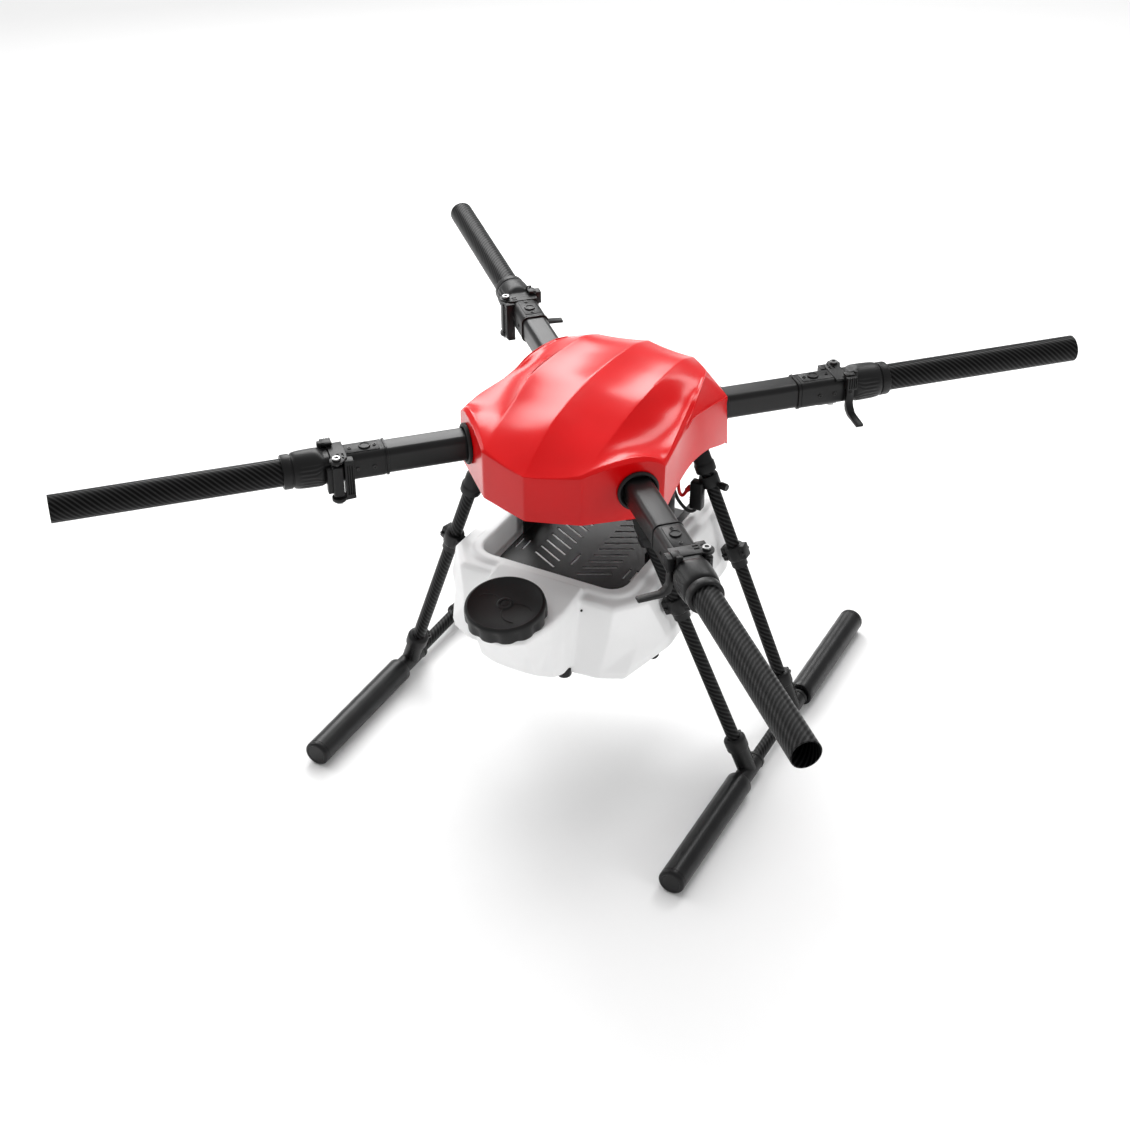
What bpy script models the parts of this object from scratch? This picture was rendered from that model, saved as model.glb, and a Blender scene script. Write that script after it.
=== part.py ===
"""Folding frame of an agricultural spray drone: four folding arms, landing gear, tank, battery tray and cover.

Metres, +Z up. The origin is on the ground below the point where the four arm axes cross, and the nose points to -Y.
"""

import math

import bmesh
import bpy
from mathutils import Matrix, Vector

# Arms: distances along an arm are counted from the centre, sideways to the left of it, and up from its axis.
ARM_HEIGHT = 0.512
ARM_ANGLES = {"front_right": -45, "rear_right": 45, "rear_left": 135, "front_left": 225}
TUBE_RADIUS = 0.020
TUBE_WALL = 0.0016
TUBE_START = 0.412
TUBE_TIP = 0.784
INNER_TUBE_HALF = 0.020
INNER_TUBE_CORNER = 0.0098
INNER_TUBE_WALL = 0.002
INNER_TUBE_START = 0.070
SLEEVE_HALF = 0.0215
SLEEVE_CORNER = 0.0105
SLEEVE_START = 0.313
SLEEVE_BORE_END = 0.374
JOINT_FACE = 0.3955
JOINT_GAP = 0.0008
SOCKET_END = 0.464
WIRE_HOLE_RADIUS = 0.013
CLEARANCE = 0.0003

# Fold hinge, beside each arm
HINGE_ALONG = 0.389
HINGE_ASIDE = 0.027
LUG_RADIUS = 0.0105
LUG_TOP = 0.0225
LUG_BOTTOM = -0.043
LUG_THICKNESS = 0.0085
KNUCKLE_RADIUS = 0.0102
KNUCKLE_GAP = 0.0006
BOLT_RADIUS = 0.0038
BOLT_HEAD_RADIUS = 0.0062
BOLT_HEAD_HEIGHT = 0.004

# Latch lever, on the other side of each arm
LEVER_START = 0.387
LEVER_END = 0.4029
LEVER_PIVOT_ASIDE = -0.015
LEVER_PIVOT_UP = 0.027
LEVER_PIN_RADIUS = 0.0024

# Landing gear
SKID_ASIDE = 0.302
SKID_FRONT = -0.348
SKID_REAR = 0.371
FOAM_RADIUS = 0.020
FOAM_FRONT_END = -0.104
FOAM_REAR_END = 0.137
FOAM_CAP = 0.007
LEG_RADIUS = 0.010
LEG_WALL = 0.0012
LEG_FEET = {"front": Vector((SKID_ASIDE, -0.072, FOAM_RADIUS)), "rear": Vector((SKID_ASIDE, 0.102, FOAM_RADIUS))}
LEG_HEADS = {"front": Vector((0.1225, -0.1215, 0.4825)), "rear": Vector((0.111, 0.098, 0.4825))}
LEG_SLEEVE_HEIGHTS = {"front": 0.312, "rear": 0.283}
TEE_RADIUS = 0.0148
TEE_HALF_LENGTH = 0.031

# Centre frame
PLATE_BOTTOM = 0.4825
PLATE_THICKNESS = 0.003
CLAMP_HALF_WIDTH = 0.026
CLAMP_START = 0.085
CLAMP_END = 0.150

# Top cover
COVER_WALL = 0.0025
FRONT_EXIT = 0.1932
REAR_EXIT = 0.2028
GROMMET_HOLE_RADIUS = 0.0270
GROMMET_RADIUS = 0.0305
GROMMET_FLANGE = {"front": 0.0055, "rear": 0.0014}

# Tank
TANK_WALL = 0.0025
TANK_TOP = 0.342
BAY_HALF_WIDTH = 0.118
BAY_FRONT = -0.150
BAY_CORNER = 0.026
BAY_FLOOR = 0.300
MOUTH = Vector((0, -0.272, 0.336))
MOUTH_TILT = math.radians(8)
NECK_RADIUS = 0.0420
NECK_TOP = 0.0185
LID_RADIUS = 0.0590
LID_BORE = 0.0480
LID_HEIGHT = 0.027
LID_LOBES = 12

# Battery tray
TRAY_HALF_WIDTH = 0.105
TRAY_FRONT = -0.144
TRAY_REAR = 0.138
TRAY_CORNER = 0.024
TRAY_BOTTOM = 0.3042
TRAY_THICKNESS = 0.003
TRAY_POSTS = (-0.016, 0.052)

# Power plug and leads
PLUG_HEIGHT = 0.402
RED_LEAD_HOLE = Vector((0.112, 0.061))
BLACK_LEAD_HOLE = Vector((0.098, 0.047))
LEAD_RADIUS = 0.0027

ROUND_SIDES = 20
THIN_SIDES = 16


# ---- Mesh helpers ----

def finished(shape):
    """A closed mesh from a bmesh, with its faces turned outwards."""
    bmesh.ops.remove_doubles(shape, verts=shape.verts, dist=1e-6)
    bmesh.ops.recalc_face_normals(shape, faces=shape.faces)
    mesh = bpy.data.meshes.new("shape")
    shape.to_mesh(mesh)
    shape.free()
    return mesh


def loft(rings, closed=False):
    """A skin over rings that have the same number of points: capped at both ends, or closed into a ring."""
    shape = bmesh.new()
    loops = [[shape.verts.new(point) for point in ring] for ring in rings]
    count = len(loops[0])
    pairs = list(zip(loops, loops[1:])) + ([(loops[-1], loops[0])] if closed else [])
    for lower, upper in pairs:
        for i in range(count):
            j = (i + 1) % count
            shape.faces.new((lower[i], lower[j], upper[j], upper[i]))
    if not closed:
        shape.faces.new(loops[0])
        shape.faces.new(loops[-1])
    return finished(shape)


def moved(mesh, matrix):
    mesh.transform(matrix)
    return mesh


def along(start, end):
    """The matrix that takes +Z to the direction from start to end, and the origin to start."""
    direction = Vector(end) - Vector(start)
    return Matrix.Translation(start) @ direction.to_track_quat("Z", "Y").to_matrix().to_4x4()


def circle(radius, height, sides):
    """Points of a polygon round Z whose flats lie on the radius, with a flat at each quarter turn."""
    corner = radius / math.cos(math.pi / sides)
    angles = [2 * math.pi * (i + 0.5) / sides for i in range(sides)]
    return [(corner * math.cos(a), corner * math.sin(a), height) for a in angles]


def rod(radius, start, end, sides=ROUND_SIDES):
    length = (Vector(end) - Vector(start)).length
    return moved(loft([circle(radius, 0, sides), circle(radius, length, sides)]), along(start, end))


def turned(profile, sides=ROUND_SIDES, closed=False):
    """A turned solid round Z from (radius, height) pairs: capped, or closed for a ring."""
    return loft([circle(radius, height, sides) for radius, height in profile], closed)


def pipe(outer, inner, start, end, sides):
    length = (Vector(end) - Vector(start)).length
    profile = [(outer, 0), (outer, length), (inner, length), (inner, 0)]
    return moved(turned(profile, sides, closed=True), along(start, end))


def box(low, high, bevel=0.0):
    shape = bmesh.new()
    bmesh.ops.create_cube(shape, size=1)
    size = Vector(high) - Vector(low)
    middle = (Vector(high) + Vector(low)) / 2
    bmesh.ops.transform(shape, verts=shape.verts, matrix=Matrix.Translation(middle) @ Matrix.Diagonal((*size, 1)))
    if bevel:
        bmesh.ops.bevel(shape, geom=shape.edges, offset=bevel, segments=1, affect="EDGES")
    return finished(shape)


def prism(outline, low, high, axes="xyz"):
    """An outline given in the first two axes, extruded along the third."""
    order = [axes.index(axis) for axis in "xyz"]
    rings = [[(u, v, w) for u, v in outline] for w in (low, high)]
    return loft([[tuple(point[i] for i in order) for point in ring] for ring in rings])


def square_reach(angle, half, corner):
    """How far a rounded square reaches from its centre in a direction."""
    turn = abs((angle + math.pi / 4) % (math.pi / 2) - math.pi / 4)
    if half * math.tan(turn) <= half - corner:
        return half / math.cos(turn)
    inset = half - corner
    middle = inset * (math.cos(turn) + math.sin(turn))
    return middle + math.sqrt(middle * middle - 2 * inset * inset + corner * corner)


def arm_section(distance, half, corner):
    """A rounded square round the arm's axis; it is a circle when corner equals half."""
    points = []
    for i in range(ROUND_SIDES):
        angle = 2 * math.pi * (i + 0.5) / ROUND_SIDES
        reach = square_reach(angle, half, corner)
        points.append((distance, reach * math.cos(angle), reach * math.sin(angle)))
    return points


def arm_loft(stations, closed=False):
    return loft([arm_section(*station) for station in stations], closed)


def carved(mesh, add=(), cut=()):
    """The mesh with others joined to it and then others cut from it."""
    scene = bpy.context.scene
    work = bpy.data.objects.new("work", mesh)
    helpers = [work]
    scene.collection.objects.link(work)
    for operation, tools in (("UNION", add), ("DIFFERENCE", cut)):
        for tool in tools:
            helper = bpy.data.objects.new("tool", tool)
            helpers.append(helper)
            scene.collection.objects.link(helper)
            modifier = work.modifiers.new(operation.lower(), "BOOLEAN")
            modifier.operation = operation
            modifier.object = helper
    bpy.context.view_layer.update()
    result = bpy.data.meshes.new_from_object(work.evaluated_get(bpy.context.evaluated_depsgraph_get()))
    for helper in helpers:
        bpy.data.objects.remove(helper)
    return result


def shelled(mesh, wall):
    """The closed mesh as a skin of the given thickness, measured inwards."""
    work = bpy.data.objects.new("work", mesh)
    bpy.context.scene.collection.objects.link(work)
    modifier = work.modifiers.new("wall", "SOLIDIFY")
    modifier.thickness = wall
    modifier.offset = -1
    modifier.use_even_offset = True
    bpy.context.view_layer.update()
    result = bpy.data.meshes.new_from_object(work.evaluated_get(bpy.context.evaluated_depsgraph_get()))
    bpy.data.objects.remove(work)
    return result


def material(name, color, roughness, metallic=0.0):
    made = bpy.data.materials.new(name)
    made.use_nodes = True
    shader = made.node_tree.nodes["Principled BSDF"]
    shader.inputs["Base Color"].default_value = (*color, 1)
    shader.inputs["Roughness"].default_value = roughness
    shader.inputs["Metallic"].default_value = metallic
    made.diffuse_color = (*color, 1)
    return made


def place(name, mesh, finish, parent=None, shift=(0, 0, 0)):
    """Puts a finished mesh in the scene as one named sub-part."""
    part = bpy.data.objects.new(name, mesh)
    if not mesh.materials:
        mesh.materials.append(finish)
    mesh.shade_smooth()
    mesh.set_sharp_from_angle(angle=math.radians(35))
    part.parent = parent
    part.location = -Vector(shift)
    bpy.context.scene.collection.objects.link(part)
    return part


def pivot(name, location, parent=None, turn=(0, 0, 0)):
    empty = bpy.data.objects.new(name, None)
    empty.parent = parent
    empty.location = location
    empty.rotation_euler = turn
    bpy.context.scene.collection.objects.link(empty)
    return empty


# ---- Arms ----

def hinge_rod(radius, low, high):
    return rod(radius, (HINGE_ALONG, HINGE_ASIDE, low), (HINGE_ALONG, HINGE_ASIDE, high), THIN_SIDES)


def inner_tube_mesh():
    end = SLEEVE_BORE_END - CLEARANCE
    hollow_half = INNER_TUBE_HALF - INNER_TUBE_WALL
    hollow_corner = INNER_TUBE_CORNER - INNER_TUBE_WALL
    return arm_loft([
        (INNER_TUBE_START, INNER_TUBE_HALF, INNER_TUBE_CORNER),
        (end, INNER_TUBE_HALF, INNER_TUBE_CORNER),
        (end, hollow_half, hollow_corner),
        (INNER_TUBE_START, hollow_half, hollow_corner),
    ], closed=True)


def fold_base_mesh():
    lip = 0.0009
    lip_width = 0.004
    sleeve = arm_loft([
        (SLEEVE_START, SLEEVE_HALF + lip, SLEEVE_CORNER + lip),
        (SLEEVE_START + lip_width, SLEEVE_HALF + lip, SLEEVE_CORNER + lip),
        (SLEEVE_START + lip_width + lip, SLEEVE_HALF, SLEEVE_CORNER),
        (JOINT_FACE, SLEEVE_HALF, SLEEVE_CORNER),
    ])
    bore_half = INNER_TUBE_HALF + CLEARANCE
    bore = arm_loft([
        (SLEEVE_START - 0.01, bore_half, INNER_TUBE_CORNER),
        (SLEEVE_BORE_END, bore_half, INNER_TUBE_CORNER),
    ])
    wire_hole = rod(WIRE_HOLE_RADIUS, (SLEEVE_BORE_END - 0.005, 0, 0), (JOINT_FACE + 0.005, 0, 0), THIN_SIDES)
    hinge_block = box((0.372, 0.0185, LUG_BOTTOM + 0.002), (JOINT_FACE - 0.001, 0.0300, LUG_TOP - 0.0005), 0.001)
    top_lug = hinge_rod(LUG_RADIUS, LUG_TOP - LUG_THICKNESS, LUG_TOP)
    bottom_lug = hinge_rod(LUG_RADIUS, LUG_BOTTOM, LUG_BOTTOM + LUG_THICKNESS)
    knuckle_room = hinge_rod(
        KNUCKLE_RADIUS + 0.001, LUG_BOTTOM + LUG_THICKNESS - CLEARANCE, LUG_TOP - LUG_THICKNESS + CLEARANCE
    )
    bolt_hole = hinge_rod(BOLT_RADIUS + CLEARANCE, LUG_BOTTOM - 0.01, LUG_TOP + 0.01)
    screw_boss = rod(0.0095, (0.3435, 0, SLEEVE_HALF - 0.001), (0.3435, 0, SLEEVE_HALF + 0.0022), THIN_SIDES)
    return carved(
        sleeve, add=[hinge_block, top_lug, bottom_lug, screw_boss], cut=[bore, wire_hole, knuckle_room, bolt_hole]
    )


def hinge_bolt_mesh():
    head_bottom = LUG_TOP + CLEARANCE
    nut_top = LUG_BOTTOM - CLEARANCE
    profile = [
        (BOLT_HEAD_RADIUS, nut_top - BOLT_HEAD_HEIGHT), (BOLT_HEAD_RADIUS, nut_top),
        (BOLT_RADIUS, nut_top), (BOLT_RADIUS, head_bottom),
        (BOLT_HEAD_RADIUS, head_bottom), (BOLT_HEAD_RADIUS, head_bottom + BOLT_HEAD_HEIGHT - 0.001),
        (BOLT_HEAD_RADIUS - 0.001, head_bottom + BOLT_HEAD_HEIGHT),
    ]
    return moved(turned(profile, THIN_SIDES), Matrix.Translation((HINGE_ALONG, HINGE_ASIDE, 0)))


def fold_socket_mesh():
    face = JOINT_FACE + JOINT_GAP
    neck_end = 0.4040
    collar_radius = 0.0280
    ring_radius = 0.0252
    body = arm_loft([
        (face, SLEEVE_HALF, SLEEVE_CORNER),
        (neck_end, SLEEVE_HALF, SLEEVE_CORNER),
        (0.4100, 0.0262, 0.0190),
        (0.4190, collar_radius, collar_radius),
        (0.4400, 0.0274, 0.0274),
        (0.4485, 0.0256, 0.0256),
        (0.4500, 0.0242, 0.0242),
        (0.4515, ring_radius, ring_radius),
        (SOCKET_END - 0.0015, ring_radius, ring_radius),
        (SOCKET_END, ring_radius - 0.0015, ring_radius - 0.0015),
    ])
    knuckle_bottom = LUG_BOTTOM + LUG_THICKNESS + KNUCKLE_GAP
    knuckle_top = LUG_TOP - LUG_THICKNESS - KNUCKLE_GAP
    knuckle = hinge_rod(KNUCKLE_RADIUS, knuckle_bottom - 0.001, knuckle_top + 0.001)
    knuckle_web = box((HINGE_ALONG + 0.0013, 0.0187, knuckle_bottom + 0.0011), (0.4163, 0.0307, knuckle_top - 0.0011))
    lever_bracket = box(
        (LEVER_END + 0.0006, LEVER_PIVOT_ASIDE - 0.006, 0.0120),
        (LEVER_END + 0.0064, LEVER_PIVOT_ASIDE + 0.0057, LEVER_PIVOT_UP + 0.0050),
    )
    tube_bore = rod(TUBE_RADIUS + CLEARANCE, (TUBE_START - 0.004, 0, 0), (SOCKET_END + 0.01, 0, 0))
    wire_hole = rod(WIRE_HOLE_RADIUS, (face - 0.01, 0, 0), (TUBE_START, 0, 0), THIN_SIDES)
    lug_room_top = hinge_rod(LUG_RADIUS + 0.0008, LUG_TOP - LUG_THICKNESS - KNUCKLE_GAP, LUG_TOP + 0.02)
    lug_room_bottom = hinge_rod(LUG_RADIUS + 0.0008, LUG_BOTTOM - 0.02, knuckle_bottom)
    bolt_hole = hinge_rod(BOLT_RADIUS + CLEARANCE, LUG_BOTTOM, LUG_TOP)
    pin_hole = rod(
        LEVER_PIN_RADIUS + 0.0006,
        (LEVER_END, LEVER_PIVOT_ASIDE, LEVER_PIVOT_UP), (LEVER_END + 0.0074, LEVER_PIVOT_ASIDE, LEVER_PIVOT_UP),
        THIN_SIDES,
    )
    return carved(
        body, add=[knuckle, knuckle_web, lever_bracket],
        cut=[lug_room_top, lug_room_bottom, tube_bore, wire_hole, bolt_hole, pin_hole],
    )


def latch_lever_mesh():
    knuckle_radius = 0.0045
    outline = [
        (
            LEVER_PIVOT_ASIDE + knuckle_radius * math.cos(math.radians(angle)),
            LEVER_PIVOT_UP + knuckle_radius * math.sin(math.radians(angle)),
        )
        for angle in range(-90, 91, 30)
    ]
    outline += [
        (-0.0290, 0.0300), (-0.0325, 0.0265), (-0.0325, -0.0215), (-0.0370, -0.0290), (-0.0690, -0.0305),
        (-0.0695, -0.0365), (-0.0350, -0.0368), (-0.0250, -0.0310), (-0.0227, -0.0250), (-0.0227, 0.0225),
    ]
    plate = prism(outline, LEVER_START, LEVER_END, "yzx")
    pin_end = LEVER_END + 0.006
    pin = rod(
        LEVER_PIN_RADIUS,
        (LEVER_END - 0.004, LEVER_PIVOT_ASIDE, LEVER_PIVOT_UP), (pin_end, LEVER_PIVOT_ASIDE, LEVER_PIVOT_UP),
        THIN_SIDES,
    )
    return carved(plate, add=[pin])


def arm_tube_mesh():
    inner = TUBE_RADIUS - TUBE_WALL
    return pipe(TUBE_RADIUS, inner, (TUBE_START, 0, 0), (TUBE_TIP, 0, 0), ROUND_SIDES)


def grommet_mesh(end):
    exit_distance = FRONT_EXIT if end == "front" else REAR_EXIT
    flange = GROMMET_FLANGE[end]
    outside = exit_distance + 0.0004
    profile = [
        (GROMMET_HOLE_RADIUS - 0.0004, exit_distance - 0.0060),
        (GROMMET_HOLE_RADIUS - 0.0004, outside),
        (GROMMET_RADIUS, outside),
        (GROMMET_RADIUS, outside + 0.55 * flange),
        (GROMMET_RADIUS - 0.36 * flange, outside + flange),
    ]
    ring = moved(turned(profile), Matrix.Rotation(math.radians(90), 4, "Y"))
    hole_half = INNER_TUBE_HALF + CLEARANCE
    hole = arm_loft([(0.15, hole_half, INNER_TUBE_CORNER), (0.25, hole_half, INNER_TUBE_CORNER)])
    return carved(ring, cut=[hole])


def build_arms(carbon, plastic, steel, rubber):
    hinge = Vector((HINGE_ALONG, HINGE_ASIDE, 0))
    lever_axis = Vector((LEVER_END, LEVER_PIVOT_ASIDE, LEVER_PIVOT_UP))
    shared = {
        "inner_tube": (inner_tube_mesh(), plastic),
        "fold_base": (fold_base_mesh(), plastic),
        "hinge_bolt": (hinge_bolt_mesh(), steel),
    }
    socket, lever, tube = fold_socket_mesh(), latch_lever_mesh(), arm_tube_mesh()
    for corner, angle in ARM_ANGLES.items():
        root = pivot(f"{corner}_arm_axis", (0, 0, ARM_HEIGHT), turn=(0, 0, math.radians(angle)))
        for name, (mesh, finish) in shared.items():
            place(f"{corner}_{name}", mesh, finish, root)
        fold = pivot(f"{corner}_fold_axis", hinge, root)
        place(f"{corner}_fold_socket", socket, plastic, fold, hinge)
        place(f"{corner}_arm_tube", tube, carbon, fold, hinge)
        latch = pivot(f"{corner}_latch_axis", lever_axis - hinge, fold)
        place(f"{corner}_latch_lever", lever, plastic, latch, lever_axis)
        place(f"{corner}_cover_grommet", grommet_mesh(corner.split("_")[0]), rubber, root)


# ---- Landing gear ----

def leg_point(end, height):
    """The point on a leg's axis at a height, on the +X side."""
    foot, head = LEG_FEET[end], LEG_HEADS[end]
    return foot.lerp(head, (height - foot.z) / (head.z - foot.z))


def leg_tee_mesh(end):
    foot = LEG_FEET[end]
    reach = Vector((0, TEE_HALF_LENGTH, 0))
    run = rod(TEE_RADIUS, foot - reach, foot + reach, THIN_SIDES)
    collar = rod(TEE_RADIUS - 0.0008, leg_point(end, 0.022), leg_point(end, 0.066), THIN_SIDES)
    clamp = rod(TEE_RADIUS + 0.0022, leg_point(end, 0.063), leg_point(end, 0.082), THIN_SIDES)
    skid_bore = rod(LEG_RADIUS + CLEARANCE, foot - 2 * reach, foot + 2 * reach, THIN_SIDES)
    leg_bore = rod(LEG_RADIUS + CLEARANCE, leg_point(end, 0.035), leg_point(end, 0.1), THIN_SIDES)
    return carved(run, add=[collar, clamp], cut=[skid_bore, leg_bore])


def leg_sleeve_mesh(end):
    height = LEG_SLEEVE_HEIGHTS[end]
    low, high = leg_point(end, height - 0.020), leg_point(end, height + 0.014)
    frame = along(low, high)
    block_low = 0.012
    length = (high - low).length
    block = moved(box((-0.0140, -0.0190, block_low), (0.0140, 0.0190, length), 0.004), frame)
    tail = rod(0.0125, low, leg_point(end, height), THIN_SIDES)
    bore = rod(LEG_RADIUS + CLEARANCE, leg_point(end, height - 0.06), leg_point(end, height + 0.06), THIN_SIDES)
    return carved(tail, add=[block], cut=[bore])


def leg_root_mesh(end):
    flange_top = PLATE_BOTTOM - CLEARANCE
    flange_half = 0.0145
    middle = LEG_HEADS[end] - Vector((0.007, math.copysign(0.007, LEG_HEADS[end].y), 0))
    flange = box(
        (middle.x - flange_half, middle.y - flange_half, flange_top - 0.012),
        (middle.x + flange_half, middle.y + flange_half, flange_top), 0.003,
    )
    neck = rod(LEG_RADIUS + 0.0016, leg_point(end, 0.436), leg_point(end, 0.474), THIN_SIDES)
    socket = rod(LEG_RADIUS + 0.0042, leg_point(end, 0.416), leg_point(end, 0.449), THIN_SIDES)
    lip = rod(LEG_RADIUS + 0.0060, leg_point(end, 0.416), leg_point(end, 0.430), THIN_SIDES)
    bore = rod(LEG_RADIUS + CLEARANCE, leg_point(end, 0.38), leg_point(end, 0.468), THIN_SIDES)
    return carved(flange, add=[neck, socket, lip], cut=[bore])


def skid_foam_mesh(y_end, y_inner):
    """A foam sleeve whose outer end is closed by a rounded cap."""
    length = abs(y_end - y_inner)
    profile = [
        (LEG_RADIUS + CLEARANCE, length - FOAM_CAP),
        (LEG_RADIUS + CLEARANCE, 0),
        (FOAM_RADIUS - 0.001, 0),
        (FOAM_RADIUS, 0.001),
        (FOAM_RADIUS, length - 0.004),
        (FOAM_RADIUS - 0.0012, length - 0.0012),
        (FOAM_RADIUS - 0.004, length),
    ]
    return moved(turned(profile), along((SKID_ASIDE, y_inner, FOAM_RADIUS), (SKID_ASIDE, y_end, FOAM_RADIUS)))


def mirrored(mesh):
    copy = mesh.copy()
    copy.transform(Matrix.Diagonal((-1, 1, 1, 1)))
    copy.flip_normals()
    return copy


def place_pair(name, mesh, finish):
    place(f"right_{name}", mesh, finish)
    place(f"left_{name}", mirrored(mesh), finish)


def build_landing_gear(carbon, plastic, foam):
    tube_front = SKID_FRONT + FOAM_CAP + CLEARANCE
    tube_rear = SKID_REAR - FOAM_CAP - CLEARANCE
    inner = LEG_RADIUS - LEG_WALL
    start, end = (SKID_ASIDE, tube_front, FOAM_RADIUS), (SKID_ASIDE, tube_rear, FOAM_RADIUS)
    place_pair("skid_tube", pipe(LEG_RADIUS, inner, start, end, THIN_SIDES), carbon)
    place_pair("skid_foam_front", skid_foam_mesh(SKID_FRONT, FOAM_FRONT_END), foam)
    place_pair("skid_foam_rear", skid_foam_mesh(SKID_REAR, FOAM_REAR_END), foam)
    for end in ("front", "rear"):
        tube = pipe(LEG_RADIUS, inner, leg_point(end, 0.036), leg_point(end, 0.467), THIN_SIDES)
        place_pair(f"leg_tube_{end}", tube, carbon)
        place_pair(f"leg_tee_{end}", leg_tee_mesh(end), plastic)
        place_pair(f"leg_sleeve_{end}", leg_sleeve_mesh(end), plastic)
        place_pair(f"leg_root_{end}", leg_root_mesh(end), plastic)


# ---- Centre frame, tray and board ----

def mirrored_outline(half):
    """A closed outline from its +X half, listed from front to rear."""
    return half + [(-x, y) for x, y in reversed(half)]


def center_frame_mesh():
    outline = mirrored_outline([(0.104, -0.152), (0.152, -0.104), (0.152, 0.104), (0.104, 0.152)])
    plate = prism(outline, PLATE_BOTTOM, PLATE_BOTTOM + PLATE_THICKNESS)
    block_bottom = PLATE_BOTTOM + PLATE_THICKNESS - 0.001 - ARM_HEIGHT
    blocks, bores = [], []
    bore_half = INNER_TUBE_HALF + CLEARANCE
    for angle in ARM_ANGLES.values():
        turn = Matrix.Translation((0, 0, ARM_HEIGHT)) @ Matrix.Rotation(math.radians(angle), 4, "Z")
        low = (CLAMP_START, -CLAMP_HALF_WIDTH, block_bottom)
        high = (CLAMP_END, CLAMP_HALF_WIDTH, CLAMP_HALF_WIDTH)
        blocks.append(moved(box(low, high), turn))
        bore = arm_loft([
            (CLAMP_START - 0.01, bore_half, INNER_TUBE_CORNER), (CLAMP_END + 0.01, bore_half, INNER_TUBE_CORNER),
        ])
        bores.append(moved(bore, turn))
    for hole in (RED_LEAD_HOLE, BLACK_LEAD_HOLE):
        bores.append(rod(LEAD_RADIUS + 0.0022, (*hole, PLATE_BOTTOM - 0.01), (*hole, PLATE_BOTTOM + 0.01), THIN_SIDES))
    return carved(plate, add=blocks, cut=bores)


def power_board_mesh():
    bottom = ARM_HEIGHT + CLAMP_HALF_WIDTH + CLEARANCE
    outline = mirrored_outline([(0.070, -0.118), (0.118, -0.070), (0.118, 0.070), (0.070, 0.118)])
    board = prism(outline, bottom, bottom + 0.0024)
    controller = box((-0.028, -0.040, bottom + 0.001), (0.028, 0.030, bottom + 0.020), 0.002)
    terminal = box((0.040, 0.030, bottom + 0.001), (0.070, 0.060, bottom + 0.012), 0.001)
    return carved(board, add=[controller, terminal])


def battery_tray_mesh():
    near = TRAY_HALF_WIDTH - TRAY_CORNER
    outline = mirrored_outline([
        (near, TRAY_FRONT), (near + 0.6 * TRAY_CORNER, TRAY_FRONT + 0.2 * TRAY_CORNER),
        (TRAY_HALF_WIDTH, TRAY_FRONT + TRAY_CORNER), (TRAY_HALF_WIDTH, TRAY_REAR),
    ])
    floor = prism(outline, TRAY_BOTTOM, TRAY_BOTTOM + TRAY_THICKNESS)
    pieces = []
    hanger_top = PLATE_BOTTOM - CLEARANCE
    for side in (-1, 1):
        low, high = sorted((side * TRAY_HALF_WIDTH, side * (TRAY_HALF_WIDTH - TRAY_THICKNESS)))
        pieces.append(box((low, -0.035, TRAY_BOTTOM + 0.001), (high, TRAY_REAR - 0.001, TRAY_BOTTOM + 0.030)))
        for y in TRAY_POSTS:
            pieces.append(box((low, y - 0.010, TRAY_BOTTOM + 0.020), (high, y + 0.010, hanger_top)))
    return carved(floor, add=pieces)


# ---- Tank ----

def mouth_frame():
    return Matrix.Translation(MOUTH) @ Matrix.Rotation(MOUTH_TILT, 4, "X")


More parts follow.
